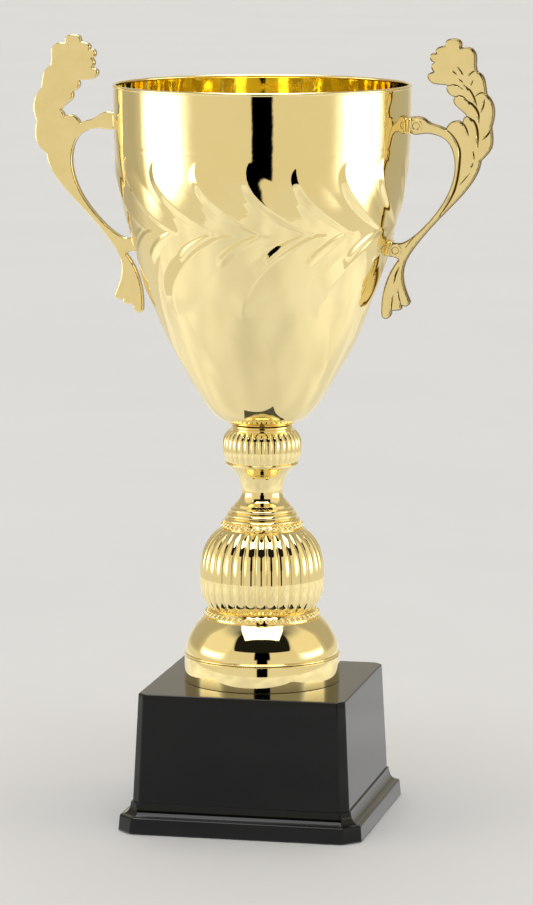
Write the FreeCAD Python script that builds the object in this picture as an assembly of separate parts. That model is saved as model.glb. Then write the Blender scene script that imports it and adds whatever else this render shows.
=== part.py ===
"""Two-handled presentation cup on a ribbed column and a moulded plinth.

Millimetres, +Z up. The origin is the centre of the plinth's underside, the
handles lie along +X and -X, and the front face of the plinth looks along -Y.
Every piece of the stack is clamped by one threaded rod on the Z axis.
"""
import FreeCAD
import Part
import math
import os

V = FreeCAD.Vector
UP = V(0, 0, 1)

# ---- driving dimensions -------------------------------------------------

# levels of the stack, from the table up
PLINTH_TOP = 65.0
FOOT_RING_TOP = 78.5
DOME_TOP = 95.4
BEAD_COLLAR_TOP = 99.2
BALL_TOP = 138.0
STEPPED_COLLAR_TOP = 149.4
NECK_TOP = 169.6
KNOB_RIBS_TOP = 185.0
KNOB_TOP = 187.2
RIM_TOP = 348.0

# plinth: half width and corner cut at each level
PLINTH_HALF_TOP = 49.4
PLINTH_HALF_FOOT = 51.9
PLINTH_CUT_TOP = 3.2
PLINTH_CUT_FOOT = 3.9
COVE_TOP = 13.5
COVE_STEP = 0.8
FLANGE_TOP = 7.6
FLANGE_HALF = 58.3
FLANGE_DRAFT = 0.5
FLANGE_CUT = 7.4
FLANGE_ROUND = 1.1
PLINTH_WALL = 3.0
PLINTH_TOP_WALL = 3.4
COVE_LEVELS = 7

# underside: board and felt lie flush inside the plinth's rim
FELT_THICK = 1.0
BOARD_THICK = 2.0
BOARD_GAP = 0.3
BOARD_HALF = 53.0
BOARD_CUT = 5.5

# ballast block
BALLAST_HALF = 41.0
BALLAST_THICK = 10.0
BALLAST_CUT = 4.0

# fasteners of the stack
ROD_R = 3.0
ROD_HOLE_R = 3.3
NUT_BORE_R = 3.02
NUT_ACROSS_FLATS = 10.0
NUT_HEIGHT = 5.0
NUT_DOME_R = 4.6
ROD_PAST_NUT = 3.4
BOWL_WASHER_R = 9.0
BOWL_WASHER_THICK = 1.2
BASE_WASHER_R = 12.5
BASE_WASHER_THICK = 1.6

# moulded column pieces
SHELL = 1.8
SPIGOT_HEIGHT = 1.6
SPIGOT_GAP = 0.15
SPIGOT_WALL = 1.4
SOCKET_ROOM = 0.2

# ribs and beads
RIB_COUNT = 32
POINTS_PER_RIB = 4
RIB_DEPTH = 1.1
SMALL_RIB_DEPTH = 0.8
RIB_END_DEPTH = 0.2
UPPER_BEADS = 36
UPPER_BEAD_RING_R = 18.2
UPPER_BEAD_R = 1.25
LOWER_BEADS = 50
LOWER_BEAD_RING_R = 26.0
LOWER_BEAD_R = 1.25

# bowl
BOWL_WALL = 0.8
BOWL_SEAT_R = 12.6
RIM_BEAD_R = 0.85
RIM_R = 70.1

# handles
HANDLE_THICK = 4.4
UPPER_LUG_Z = 329.5
LOWER_LUG_Z = 272.3
PAD_TALL = 7.4
PAD_WIDE = 7.4
PAD_THICK = 1.5
BOSS_R = 3.0
BOSS_BORE_R = 1.7
BOSS_PROUD = 0.35
BOSS_FROM_WALL = 3.9

# handle screws
SCREW_R = 1.5
SCREW_HOLE_R = 1.65
TAPPED_R = 1.52
SCREW_DEPTH = 6.6
TAPPED_DEPTH = 7.4
SCREW_HEAD_R = 2.8
SCREW_HEAD_TALL = 1.9
SCREW_WASHER_R = 3.5
SCREW_WASHER_THICK = 0.6
WASHER_STAND_OFF = 0.16

os.makedirs("parts", exist_ok=True)


# ---- helpers ------------------------------------------------------------

def save(name, shape):
    """Write one node and say whether it is sound."""
    shape.exportStep(os.path.join("parts", name + ".step"))
    print("%-16s solids %3d  valid %s  volume %.0f mm3"
          % (name, len(shape.Solids), shape.isValid(), shape.Volume))


def spline(points):
    """One smooth edge through the points."""
    curve = Part.BSplineCurve()
    curve.interpolate(points)
    return curve.toShape()


def outline(start, stretches, place):
    """A closed wire of straight lines ("line") and smooth stretches ("curve").

    Each stretch starts where the last one ended; place turns a pair of
    numbers into a point in space.
    """
    edges = []
    here = place(*start)
    for kind, points in stretches:
        there = [place(*point) for point in points]
        if kind == "line":
            for point in there:
                edges.append(Part.LineSegment(here, point).toShape())
                here = point
        else:
            edges.append(spline([here] + there))
            here = there[-1]
    if here.distanceToPoint(place(*start)) > 1e-6:
        edges.append(Part.LineSegment(here, place(*start)).toShape())
    return Part.Wire(edges)


def half_section(r, z):
    """A point of a turned piece's half section."""
    return V(r, 0, z)


def turned(start, stretches):
    """A solid of revolution about Z from a closed half section."""
    wire = outline(start, stretches, half_section)
    return Part.Face(wire).revolve(V(), UP, 360)


def disc(radius, low, high):
    """A round plate or rod on the Z axis."""
    return Part.makeCylinder(radius, high - low, V(0, 0, low))


def ring(outer, inner, low, high):
    """A flat ring on the Z axis."""
    return disc(outer, low, high).cut(disc(inner, low, high))


def octagon(half, corner, z):
    """The points of a square with its corners cut off."""
    near = half - corner
    return [V(half, -near, z), V(half, near, z), V(near, half, z), V(-near, half, z),
            V(-half, near, z), V(-half, -near, z), V(-near, -half, z), V(near, -half, z)]


def flat(points):
    """One flat face with straight edges."""
    return Part.Face(Part.makePolygon(points + points[:1]))


def stacked(levels):
    """A solid with flat faces from octagon to octagon, upwards."""
    rims = [octagon(*level) for level in levels]
    faces = [flat(rims[0][::-1]), flat(rims[-1])]
    for lower, upper in zip(rims, rims[1:]):
        for i in range(len(lower)):
            faces.append(flat([lower[i - 1], lower[i], upper[i], upper[i - 1]]))
    return Part.Solid(Part.Shell(faces))


def prism(half, corner, low, high):
    """A straight block with cut corners."""
    return flat(octagon(half, corner, low)).extrude(V(0, 0, high - low))


def beads(count, ring_r, bead_r, z):
    """Round beads evenly spaced on a circle."""
    angles = [2 * math.pi * i / count for i in range(count)]
    return [Part.makeSphere(bead_r, V(ring_r * math.cos(a), ring_r * math.sin(a), z))
            for a in angles]


def fluted(radius, depth, z):
    """A closed wire of round ribs; depth is how far the grooves between them go in."""
    points = []
    for i in range(RIB_COUNT * POINTS_PER_RIB):
        angle = 2 * math.pi * i / (RIB_COUNT * POINTS_PER_RIB)
        crown = abs(math.cos(0.5 * RIB_COUNT * angle))
        r = radius - depth * (1 - crown)
        points.append(V(r * math.cos(angle), r * math.sin(angle), z))
    curve = Part.BSplineCurve()
    curve.interpolate(Points=points, PeriodicFlag=True)
    return Part.Wire([curve.toShape()])


def ribbed(levels):
    """A solid ball of round ribs from (radius, groove depth, height) levels."""
    return Part.makeLoft([fluted(*level) for level in levels], True, False)


def spigot(radius, base):
    """The low collar on top of a piece that centres the next one."""
    return ring(radius, radius - SPIGOT_WALL, base, base + SPIGOT_HEIGHT)


def socket(radius, low):
    """The room in a piece's underside for the spigot of the piece below."""
    return disc(radius + SPIGOT_GAP, low, low + SPIGOT_HEIGHT + SOCKET_ROOM)


def rod_hole(low, high):
    """The clearance hole for the tie rod."""
    return disc(ROD_HOLE_R, low, high)


# ---- plinth and what is in it -------------------------------------------

def plinth_levels():
    """Half width, corner cut and height of the plinth's outside, upwards."""
    flange_top_half = FLANGE_HALF - FLANGE_DRAFT
    rows = [(FLANGE_HALF, FLANGE_CUT, 0.0),
            (flange_top_half, FLANGE_CUT, FLANGE_TOP - FLANGE_ROUND),
            (flange_top_half - 0.3 * FLANGE_ROUND, FLANGE_CUT, FLANGE_TOP - 0.3 * FLANGE_ROUND),
            (flange_top_half - FLANGE_ROUND, FLANGE_CUT, FLANGE_TOP)]
    cove_out = flange_top_half - FLANGE_ROUND
    cove_in = PLINTH_HALF_FOOT + COVE_STEP
    for i in range(1, COVE_LEVELS + 1):
        turn = 0.5 * math.pi * i / COVE_LEVELS
        share = math.sin(turn)
        half = cove_out + (cove_in - cove_out) * share
        corner = FLANGE_CUT + (PLINTH_CUT_FOOT - FLANGE_CUT) * share
        rows.append((half, corner, FLANGE_TOP + (COVE_TOP - FLANGE_TOP) * (1 - math.cos(turn))))
    return rows


def plinth():
    """Moulded shell, open below."""
    skirt = stacked(plinth_levels())
    body = stacked([(PLINTH_HALF_FOOT, PLINTH_CUT_FOOT, COVE_TOP),
                    (PLINTH_HALF_TOP, PLINTH_CUT_TOP, PLINTH_TOP)])
    hollow = stacked([(PLINTH_HALF_FOOT - PLINTH_WALL, PLINTH_CUT_FOOT, 0.0),
                      (PLINTH_HALF_TOP - PLINTH_WALL, PLINTH_CUT_TOP,
                       PLINTH_TOP - PLINTH_TOP_WALL)])
    recess = prism(BOARD_HALF + BOARD_GAP, BOARD_CUT, 0.0, FELT_THICK + BOARD_THICK)
    shell = skirt.fuse(body).cut(hollow).cut(recess)
    return shell.cut(rod_hole(0.0, PLINTH_TOP)).removeSplitter()


def ballast():
    top = PLINTH_TOP - PLINTH_TOP_WALL
    block = prism(BALLAST_HALF, BALLAST_CUT, top - BALLAST_THICK, top)
    return block.cut(rod_hole(top - BALLAST_THICK, top))


def base_stack_levels():
    """Heights of the washer's underside, the nut's underside and the rod's end."""
    washer_low = PLINTH_TOP - PLINTH_TOP_WALL - BALLAST_THICK - BASE_WASHER_THICK
    nut_low = washer_low - NUT_HEIGHT
    return washer_low, nut_low, nut_low - ROD_PAST_NUT


def hex_nut(low):
    """A plain nut with its corners turned off at both ends."""
    corner_r = NUT_ACROSS_FLATS / math.sqrt(3)
    points = [V(corner_r * math.cos(math.radians(60 * i)),
                corner_r * math.sin(math.radians(60 * i)), low) for i in range(7)]
    block = Part.Face(Part.makePolygon(points)).extrude(V(0, 0, NUT_HEIGHT))
    bevel = 0.5 * (corner_r - 0.5 * NUT_ACROSS_FLATS)
    turned_down = turned((0, low), [
        ("line", [(corner_r - 1.6 * bevel, low), (corner_r, low + bevel),
                  (corner_r, low + NUT_HEIGHT - bevel),
                  (corner_r - 1.6 * bevel, low + NUT_HEIGHT), (0, low + NUT_HEIGHT)])])
    return block.common(turned_down)


def domed_nut(low):
    """A nut closed by a dome; its bore is blind."""
    top = low + NUT_HEIGHT
    dome = Part.makeSphere(NUT_DOME_R, V(0, 0, top)).common(
        disc(NUT_DOME_R, top - 0.5, top + NUT_DOME_R))
    bore = disc(NUT_BORE_R, low, top + 0.4 * NUT_DOME_R)
    return hex_nut(low).fuse(dome).cut(bore).removeSplitter()


# ---- column -------------------------------------------------------------

def foot_ring():
    """Upright band with a small bead round its top edge."""
    top = FOOT_RING_TOP
    outside = turned((0, PLINTH_TOP), [
        ("line", [(37.2, PLINTH_TOP), (36.8, top - 1.3)]),
        ("curve", [(37.1, top - 0.7), (36.7, top)]),
        ("line", [(0, top)])])
    hollow = disc(36.8 - SHELL, PLINTH_TOP, top - SHELL)
    shell = outside.cut(hollow).fuse(spigot(33.4, top))
    return shell.cut(rod_hole(PLINTH_TOP, top)).removeSplitter()


def foot_dome():
    """Bright dome, a hollow cap with a closed top."""
    low = FOOT_RING_TOP
    outside = turned((0, low), [
        ("line", [(36.5, low)]),
        ("curve", [(35.9, low + 4.3), (33.9, low + 8.9), (31.2, low + 13.1), (27.6, DOME_TOP)]),
        ("line", [(0, DOME_TOP)])])
    inside = turned((0, low), [
        ("line", [(33.4, low), (33.4, low + 3.5)]),
        ("curve", [(31.4, low + 9.0), (26.0, DOME_TOP - 2.2)]),
        ("line", [(0, DOME_TOP - 2.2)])])
    shell = outside.cut(inside).cut(socket(33.4, low)).fuse(spigot(22.6, DOME_TOP))
    return shell.cut(rod_hole(low, DOME_TOP)).removeSplitter()


def bead_collar():
    """Low ring with beads, under the large ball."""
    low = DOME_TOP
    middle = low + 1.9
    outside = turned((0, low), [
        ("line", [(26.4, low), (26.0, middle - 0.6), (26.0, middle + 0.6),
                  (25.0, BEAD_COLLAR_TOP), (0, BEAD_COLLAR_TOP)])])
    beaded = outside.multiFuse(beads(LOWER_BEADS, LOWER_BEAD_RING_R, LOWER_BEAD_R, middle))
    piece = beaded.fuse(spigot(20.4, BEAD_COLLAR_TOP)).cut(socket(22.6, low))
    return piece.cut(rod_hole(low, BEAD_COLLAR_TOP)).removeSplitter()


def ribbed_ball():
    """Large ball of the column with round ribs."""
    low = BEAD_COLLAR_TOP
    outside = ribbed([(24.6, RIB_END_DEPTH, low), (27.9, 0.8 * RIB_DEPTH, 104.2),
                      (29.4, RIB_DEPTH, 111.5), (29.4, RIB_DEPTH, 118.0),
                      (28.2, RIB_DEPTH, 126.2), (24.9, 0.9 * RIB_DEPTH, 133.0),
                      (19.6, RIB_END_DEPTH, BALL_TOP)])
    inside = turned((0, low), [
        ("line", [(20.6, low), (20.6, low + 2.2)]),
        ("curve", [(24.6, 106.0), (26.2, 115.0), (24.4, 126.0), (17.0, BALL_TOP - 2.4)]),
        ("line", [(0, BALL_TOP - 2.4)])])
    return outside.cut(inside).cut(rod_hole(low, BALL_TOP)).fuse(spigot(15.6, BALL_TOP))


def stepped_collar():
    """Three growing rings and the upper ring of beads."""
    low = BALL_TOP
    bead_z = low + 1.6
    outside = turned((0, low), [
        ("line", [(18.4, low), (18.2, bead_z), (17.2, low + 3.0)]),
        ("curve", [(17.9, low + 3.9), (17.2, low + 4.9)]),
        ("line", [(16.0, low + 5.2)]),
        ("curve", [(16.6, low + 6.3), (15.9, low + 7.4)]),
        ("line", [(14.6, low + 7.7)]),
        ("curve", [(15.1, low + 8.8), (14.3, low + 9.9)]),
        ("line", [(13.4, low + 10.3), (12.9, STEPPED_COLLAR_TOP), (0, STEPPED_COLLAR_TOP)])])
    beaded = outside.multiFuse(beads(UPPER_BEADS, UPPER_BEAD_RING_R, UPPER_BEAD_R, bead_z))
    inside = turned((0, low), [
        ("line", [(15.4, low), (15.4, low + 2.4), (10.8, STEPPED_COLLAR_TOP - 2.2),
                  (0, STEPPED_COLLAR_TOP - 2.2)])])
    piece = beaded.cut(inside).cut(socket(15.6, low)).fuse(spigot(8.6, STEPPED_COLLAR_TOP))
    return piece.cut(rod_hole(low, STEPPED_COLLAR_TOP)).removeSplitter()


def neck_spool():
    """Waisted neck with a thin lip, one hollow moulding."""
    low = STEPPED_COLLAR_TOP
    outside = turned((0, low), [
        ("line", [(13.1, low)]),
        ("curve", [(10.9, low + 2.1), (9.7, low + 5.6), (10.2, low + 9.6),
                   (12.3, low + 14.4), (15.6, low + 17.9)]),
        ("line", [(16.9, NECK_TOP - 1.3)]),
        ("curve", [(17.2, NECK_TOP - 0.7), (16.8, NECK_TOP)]),
        ("line", [(0, NECK_TOP)])])
    inside = turned((0, low), [
        ("line", [(8.6, low), (8.6, low + 1.9)]),
        ("curve", [(7.7, low + 5.6), (8.2, low + 9.6), (10.4, low + 14.4), (12.4, NECK_TOP - 2.4)]),
        ("line", [(0, NECK_TOP - 2.4)])])
    shell = outside.cut(inside).cut(socket(8.6, low)).fuse(spigot(12.6, NECK_TOP))
    return shell.cut(rod_hole(low, NECK_TOP)).removeSplitter()


def knob():
    """Small ribbed ball with the ring that the bowl stands on."""
    low = NECK_TOP
    ball = ribbed([(16.6, RIB_END_DEPTH, low), (18.2, SMALL_RIB_DEPTH, low + 3.6),
                   (18.6, SMALL_RIB_DEPTH, low + 7.4), (18.0, SMALL_RIB_DEPTH, low + 12.0),
                   (15.6, RIB_END_DEPTH, KNOB_RIBS_TOP)])
    seat = turned((0, KNOB_RIBS_TOP - 0.5), [
        ("line", [(13.9, KNOB_RIBS_TOP - 0.5), (13.9, KNOB_RIBS_TOP + 0.9)]),
        ("curve", [(14.3, KNOB_RIBS_TOP + 1.5), (14.0, KNOB_TOP)]),
        ("line", [(0, KNOB_TOP)])])
    inside = turned((0, low), [
        ("line", [(12.9, low), (12.9, low + 2.2)]),
        ("curve", [(15.0, low + 6.0), (14.4, low + 11.4), (11.6, KNOB_TOP - 2.4)]),
        ("line", [(0, KNOB_TOP - 2.4)])])
    return ball.fuse(seat).cut(inside).cut(rod_hole(low, KNOB_TOP))


# ---- bowl ---------------------------------------------------------------

def rim_point(degrees):
    """A point of the rolled rim's round section."""
    turn = math.radians(degrees)
    return V(RIM_R - RIM_BEAD_R + RIM_BEAD_R * math.cos(turn), 0,
             RIM_TOP - RIM_BEAD_R + RIM_BEAD_R * math.sin(turn))


def bowl_profile():
    """The outside of the bowl's wall, from its seat up to the rolled rim."""
    points = [(BOWL_SEAT_R, KNOB_TOP), (19.3, 189.9), (28.6, 200.0), (39.9, 220.0), (49.2, 240.0),
              (56.5, 260.0), (62.2, 280.0), (66.8, 300.0), (69.0, 318.0), (69.6, 334.0)]
    curve = Part.BSplineCurve()
    curve.interpolate([V(r, 0, z) for r, z in points] + [rim_point(-60)])
    return curve


def wall_point(curve, z):
    """The outer wall point at a height, and the outward normal there."""
    low, high = curve.FirstParameter, curve.LastParameter
    while high - low > 1e-7:
        middle = 0.5 * (low + high)
        if curve.value(middle).z < z:
            low = middle
        else:
            high = middle
    tangent = curve.tangent(low)[0]
    if tangent.z < 0:
        tangent = -tangent
    return curve.value(low), V(tangent.z, 0, -tangent.x).normalize()


def inner_profile(curve, steps=14):
    """The inside of the wall: the outside moved in by the wall's thickness."""
    points = []
    for i in range(steps):
        at = curve.FirstParameter + (curve.LastParameter - curve.FirstParameter) * i / steps
        tangent = curve.tangent(at)[0]
        inward = V(-tangent.z, 0, tangent.x).normalize()
        points.append(curve.value(at) + inward * BOWL_WALL)
    return points + [rim_point(240)]


def bowl_envelope(curve):
    """The bowl's outside as a full solid, for trimming what touches it."""
    seat = V(0, 0, KNOB_TOP)
    top = V(0, 0, curve.EndPoint.z)
    wire = Part.Wire([Part.LineSegment(seat, curve.StartPoint).toShape(), curve.toShape(),
                      Part.LineSegment(curve.EndPoint, top).toShape(),
                      Part.LineSegment(top, seat).toShape()])
    return Part.Face(wire).revolve(V(), UP, 360)


def bowl(curve, fixings):
    """Thin spun wall with a rolled rim, a flat seat and five holes."""
    inner = inner_profile(curve)
    seat_low = V(0, 0, KNOB_TOP)
    seat_high = V(0, 0, inner[0].z)
    wire = Part.Wire([
        Part.LineSegment(seat_low, curve.StartPoint).toShape(), curve.toShape(),
        Part.Arc(curve.EndPoint, rim_point(90), inner[-1]).toShape(), spline(inner[::-1]),
        Part.LineSegment(inner[0], seat_high).toShape(),
        Part.LineSegment(seat_high, seat_low).toShape()])
    wall = Part.Face(wire).revolve(V(), UP, 360)
    holes = [rod_hole(KNOB_TOP - 1, KNOB_TOP + 3)]
    holes += [Part.makeCylinder(SCREW_HOLE_R, 6, point - normal * 3, normal)
              for point, normal in fixings]
    return wall.cut(holes)


# ---- handles ------------------------------------------------------------

def handle_place(x, z):
    """A point of the handle's outline, on its front face."""
    return V(x, -0.5 * HANDLE_THICK, z)


def handle_outline():
    """The right handle's outline, clockwise from the left foot of its top lobe."""
    crown = [
        ("curve", [(87.9, 369.4), (90.8, 370.0), (93.5, 369.4), (94.4, 365.8)]),
        ("curve", [(95.8, 366.1), (99.1, 365.6), (101.1, 363.4), (101.4, 359.1), (102.2, 354.8)]),
        ("curve", [(104.7, 352.7), (105.9, 348.6), (106.7, 344.1)])]
    outer_leaves = [
        ("curve", [(109.3, 340.5), (110.1, 336.0), (108.8, 329.1)]),
        ("curve", [(109.4, 324.1), (108.8, 319.5), (106.4, 315.9), (103.9, 313.5)])]
    outer_stem = [
        ("curve", [(103.0, 309.4), (98.9, 302.0), (91.6, 293.5), (82.5, 284.1), (74.1, 274.2),
                   (68.9, 266.0), (67.6, 258.7), (69.2, 251.9), (71.1, 247.3)])]
    tail = [
        ("curve", [(69.9, 245.4), (66.8, 245.5)]),
        ("curve", [(66.6, 243.5), (64.0, 243.0), (62.0, 242.2)]),
        ("curve", [(61.4, 240.0), (59.4, 239.0), (57.4, 240.1)]),
        ("curve", [(57.5, 247.6), (59.8, 257.4), (65.2, 266.9)])]
    lower_lug = [
        ("curve", [(63.9, 267.8), (62.2, 268.2), (59.8, 268.7)]),
        ("line", [(56.0, 270.0), (58.0, 277.0), (62.0, 275.2)])]
    inner_stem = [
        ("curve", [(65.9, 274.6), (70.3, 276.6), (76.8, 282.1), (83.3, 289.6), (88.8, 298.9),
                   (91.3, 307.3), (91.1, 315.6), (87.8, 322.4), (82.1, 325.4), (77.0, 325.8),
                   (72.8, 325.3), (70.6, 326.0)])]
    upper_lug = [
        ("line", [(67.0, 326.0), (67.0, 333.0), (70.6, 333.0)]),
        ("curve", [(73.7, 333.9), (77.0, 333.2), (80.3, 331.0), (83.6, 329.9), (87.4, 328.3)])]
    inner_lobe = [
        ("curve", [(89.3, 331.0), (92.3, 332.2), (95.1, 331.3)]),
        ("curve", [(95.8, 333.4), (96.9, 334.3)])]
    inner_leaves = [
        ("curve", [(94.1, 337.1), (90.9, 340.6), (91.2, 343.1)]),
        ("curve", [(88.7, 344.4), (87.6, 346.3), (88.0, 348.2)]),
        ("curve", [(83.9, 348.7), (80.3, 349.6), (78.6, 352.0), (81.4, 354.5)])]
    teeth = [
        ("curve", [(80.4, 356.0), (80.4, 357.4), (81.6, 358.9)]),
        ("curve", [(79.9, 360.2), (79.9, 362.2), (82.7, 362.9)]),
        ("curve", [(82.5, 364.9), (83.9, 366.0), (86.8, 366.6)])]
    stretches = (crown + outer_leaves + outer_stem + tail + lower_lug + inner_stem
                 + upper_lug + inner_lobe + inner_leaves + teeth)
    return outline((86.8, 366.6), stretches, handle_place)


def pad(point, normal):
    """The small foot that a lug stands on, square to the bowl's wall."""
    block = Part.makeBox(PAD_WIDE, PAD_TALL, PAD_THICK + 2.0,
                         V(-0.5 * PAD_WIDE, -0.5 * PAD_TALL, -2.0))
    block = block.makeFillet(1.2, [edge for edge in block.Edges
                                   if abs(edge.tangentAt(0).z) > 0.9])
    across = V(0, 1, 0)
    upward = normal.cross(across)
    turn = FreeCAD.Matrix(across.x, upward.x, normal.x, point.x,
                          across.y, upward.y, normal.y, point.y,
                          across.z, upward.z, normal.z, point.z, 0, 0, 0, 1)
    return block.transformGeometry(turn)


def handle(envelope, fixings):
    """One casting: flat scroll, two feet, two ring bosses, two tapped holes."""
    blank = Part.Face(handle_outline()).extrude(V(0, HANDLE_THICK, 0))
    front = -0.5 * HANDLE_THICK
    for point, normal in fixings:
        middle = V(point.x, 0, point.z) + normal * BOSS_FROM_WALL
        base = V(middle.x, front + 0.2, middle.z)
        boss = Part.makeCylinder(BOSS_R, BOSS_PROUD + 0.2, base, V(0, -1, 0))
        eye = Part.makeCylinder(BOSS_BORE_R, BOSS_PROUD,
                                V(middle.x, front, middle.z), V(0, -1, 0))
        blank = blank.fuse(boss).cut(eye).fuse(pad(point, normal))
    tapped = [Part.makeCylinder(TAPPED_R, TAPPED_DEPTH + 2, point - normal * 2, normal)
              for point, normal in fixings]
    return blank.cut(envelope).cut(tapped).removeSplitter()


def screw_and_washer(point, normal):
    """A pan-head screw through the wall from inside, and its washer."""
    inner_face = point - normal * (BOWL_WALL + WASHER_STAND_OFF)
    washer = Part.makeCylinder(SCREW_WASHER_R, SCREW_WASHER_THICK, inner_face, -normal)
    washer = washer.cut(Part.makeCylinder(SCREW_HOLE_R, SCREW_WASHER_THICK, inner_face, -normal))
    head_seat = inner_face - normal * SCREW_WASHER_THICK
    head = Part.makeCylinder(SCREW_HEAD_R, SCREW_HEAD_TALL, head_seat, -normal)
    head = head.makeFillet(0.8, [edge for edge in head.Edges if edge.Curve.TypeId == "Part::GeomCircle"
                                 and (edge.Curve.Center - head_seat).Length > 1.0])
    reach = (point - head_seat).Length + SCREW_DEPTH
    shank = Part.makeCylinder(SCREW_R, reach, head_seat, normal)
    slot = Part.makeBox(0.7, 8.0, 1.0, V(-0.35, -4.0, -0.5))
    slot.Placement = FreeCAD.Placement(head_seat - normal * SCREW_HEAD_TALL,
                                       FreeCAD.Rotation(UP, normal))
    return head.fuse(shank).cut(slot).removeSplitter(), washer


def half_turn(shape):
    """The same piece on the other side of the cup."""
    other = shape.copy()
    other.rotate(V(), UP, 180)
    return other


# ---- build --------------------------------------------------------------

profile = bowl_profile()
right_fixings = [wall_point(profile, UPPER_LUG_Z), wall_point(profile, LOWER_LUG_Z)]
flip = FreeCAD.Rotation(UP, 180)
left_fixings = [(flip.multVec(point), flip.multVec(normal)) for point, normal in right_fixings]

save("plinth", plinth())
save("ballast", ballast())
washer_low, nut_low, rod_low = base_stack_levels()
save("base_washer", ring(BASE_WASHER_R, ROD_HOLE_R, washer_low, washer_low + BASE_WASHER_THICK))
save("base_nut", hex_nut(nut_low).cut(disc(NUT_BORE_R, nut_low, washer_low)))
save("base_board", prism(BOARD_HALF, BOARD_CUT, FELT_THICK, FELT_THICK + BOARD_THICK))
save("felt_pad", prism(BOARD_HALF, BOARD_CUT, 0.0, FELT_THICK))

save("foot_ring", foot_ring())
save("foot_dome", foot_dome())
save("bead_collar", bead_collar())
save("ribbed_ball", ribbed_ball())
save("stepped_collar", stepped_collar())
save("neck_spool", neck_spool())
save("knob", knob())

save("bowl", bowl(profile, right_fixings + left_fixings))
bowl_floor = KNOB_TOP + BOWL_WALL
washer_top = bowl_floor + BOWL_WASHER_THICK
save("bowl_washer", ring(BOWL_WASHER_R, ROD_HOLE_R, bowl_floor, washer_top))
save("bowl_nut", domed_nut(washer_top))
save("tie_rod", disc(ROD_R, rod_low, washer_top + NUT_HEIGHT + 0.5))

right_handle = handle(bowl_envelope(profile), right_fixings)
save("handle_right", right_handle)
save("handle_left", half_turn(right_handle))
pairs = [screw_and_washer(*fixing) for fixing in right_fixings]
screws = [screw for screw, washer in pairs]
washers = [washer for screw, washer in pairs]
save("handle_screws", Part.Compound(screws + [half_turn(screw) for screw in screws]))
save("handle_washers", Part.Compound(washers + [half_turn(washer) for washer in washers]))
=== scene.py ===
"""Looks of a two-handled presentation cup: embossed bowl, leaf handles, ribbed column, black plinth.

Lengths in the tables are millimetres; meshes are made in metres in the row frame.
"""
import math

import bmesh
import bpy
import numpy as np
from mathutils import Matrix, Vector, geometry, noise


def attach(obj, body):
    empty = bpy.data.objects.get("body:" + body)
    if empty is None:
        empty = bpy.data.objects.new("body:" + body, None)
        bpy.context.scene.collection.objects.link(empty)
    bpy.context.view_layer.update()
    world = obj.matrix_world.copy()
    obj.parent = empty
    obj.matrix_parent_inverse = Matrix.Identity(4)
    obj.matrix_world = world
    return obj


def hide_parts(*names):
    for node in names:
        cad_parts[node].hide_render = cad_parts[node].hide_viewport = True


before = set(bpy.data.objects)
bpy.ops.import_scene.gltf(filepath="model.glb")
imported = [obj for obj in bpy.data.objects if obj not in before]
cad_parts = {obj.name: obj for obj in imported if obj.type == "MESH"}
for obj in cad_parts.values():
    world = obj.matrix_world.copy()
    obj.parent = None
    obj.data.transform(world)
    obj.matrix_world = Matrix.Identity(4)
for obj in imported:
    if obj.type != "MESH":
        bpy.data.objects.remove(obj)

bl_info = {
    "name": "Presentation cup",
    "version": (1, 0, 0),
    "blender": (4, 5, 0),
    "location": "3D View > Sidebar > Cup",
    "description": "Builds the looks of a two-handled cup round its fixed frame",
    "category": "Add Mesh",
}

MM = 0.001
TURN = 2 * math.pi
ROD_HOLE = 3.3
SPIGOT_GAP = 0.15
SPIGOT_HEIGHT = 1.6
SPIGOT_WALL = 1.4
SPIGOT_ROOM = 0.2
SHEET_WALL = 0.8
BEAD_RADIUS = 1.35

# levels of the stack, from the table up
PLINTH_TOP = 65.0
RING_TOP = 78.5
DOME_TOP = 95.4
BEADS_TOP = 99.2
BALL_TOP = 138.0
STEPS_TOP = 149.4
NECK_TOP = 169.6
KNOB_RIBS_TOP = 185.0
KNOB_TOP = 187.2
RIM_TOP = 348.0
LOWER_LUG = 272.3
UPPER_LUG = 329.5

# points round one turned row
BOWL_POINTS = 180
COLUMN_POINTS = 192
STAGE_POINTS = 128

# an edge that bends more than this is shaded sharp, and a corner of a section is rounded
SHARP_EDGE = math.radians(38)
SHARP_CORNER = math.radians(20)

# direction from the cup to the viewer, flat on the table
VIEW_ANGLE = math.radians(12.209)
CAMERA_PLACE = (0.4235, -1.9574, 0.4754)
CAMERA_TILT = math.radians(81.434)
CAMERA_SHIFT = 0.0049


# ---- curves and sections -------------------------------------------------

def curve_points(points, step):
    """Points along one smooth curve through the given ones."""
    knots = np.array(points, float)
    gaps = np.linalg.norm(np.diff(knots, axis=0), axis=1)
    count = len(knots)
    system = np.zeros((count, count))
    right = np.zeros((count, 2))
    system[0, 0] = system[-1, -1] = 1
    for i in range(1, count - 1):
        system[i, i - 1:i + 2] = gaps[i - 1], 2 * (gaps[i - 1] + gaps[i]), gaps[i]
        right[i] = 6 * ((knots[i + 1] - knots[i]) / gaps[i]
                        - (knots[i] - knots[i - 1]) / gaps[i - 1])
    bend = np.linalg.solve(system, right)
    found = []
    for i in range(count - 1):
        pieces = max(2, math.ceil(gaps[i] / step))
        for k in range(pieces):
            b = k / pieces
            a = 1 - b
            found.append(a * knots[i] + b * knots[i + 1] + gaps[i] ** 2 / 6
                         * ((a ** 3 - a) * bend[i] + (b ** 3 - b) * bend[i + 1]))
    found.append(knots[-1])
    return found


def section(start, stretches, step=0.9):
    """A closed half section from straight ("line") and smooth ("curve") stretches."""
    loop = [np.array(start, float)]
    for kind, points in stretches:
        if kind == "line":
            loop += [np.array(point, float) for point in points]
        else:
            loop += curve_points([loop[-1]] + list(points), step)[1:]
    return loop


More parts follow.
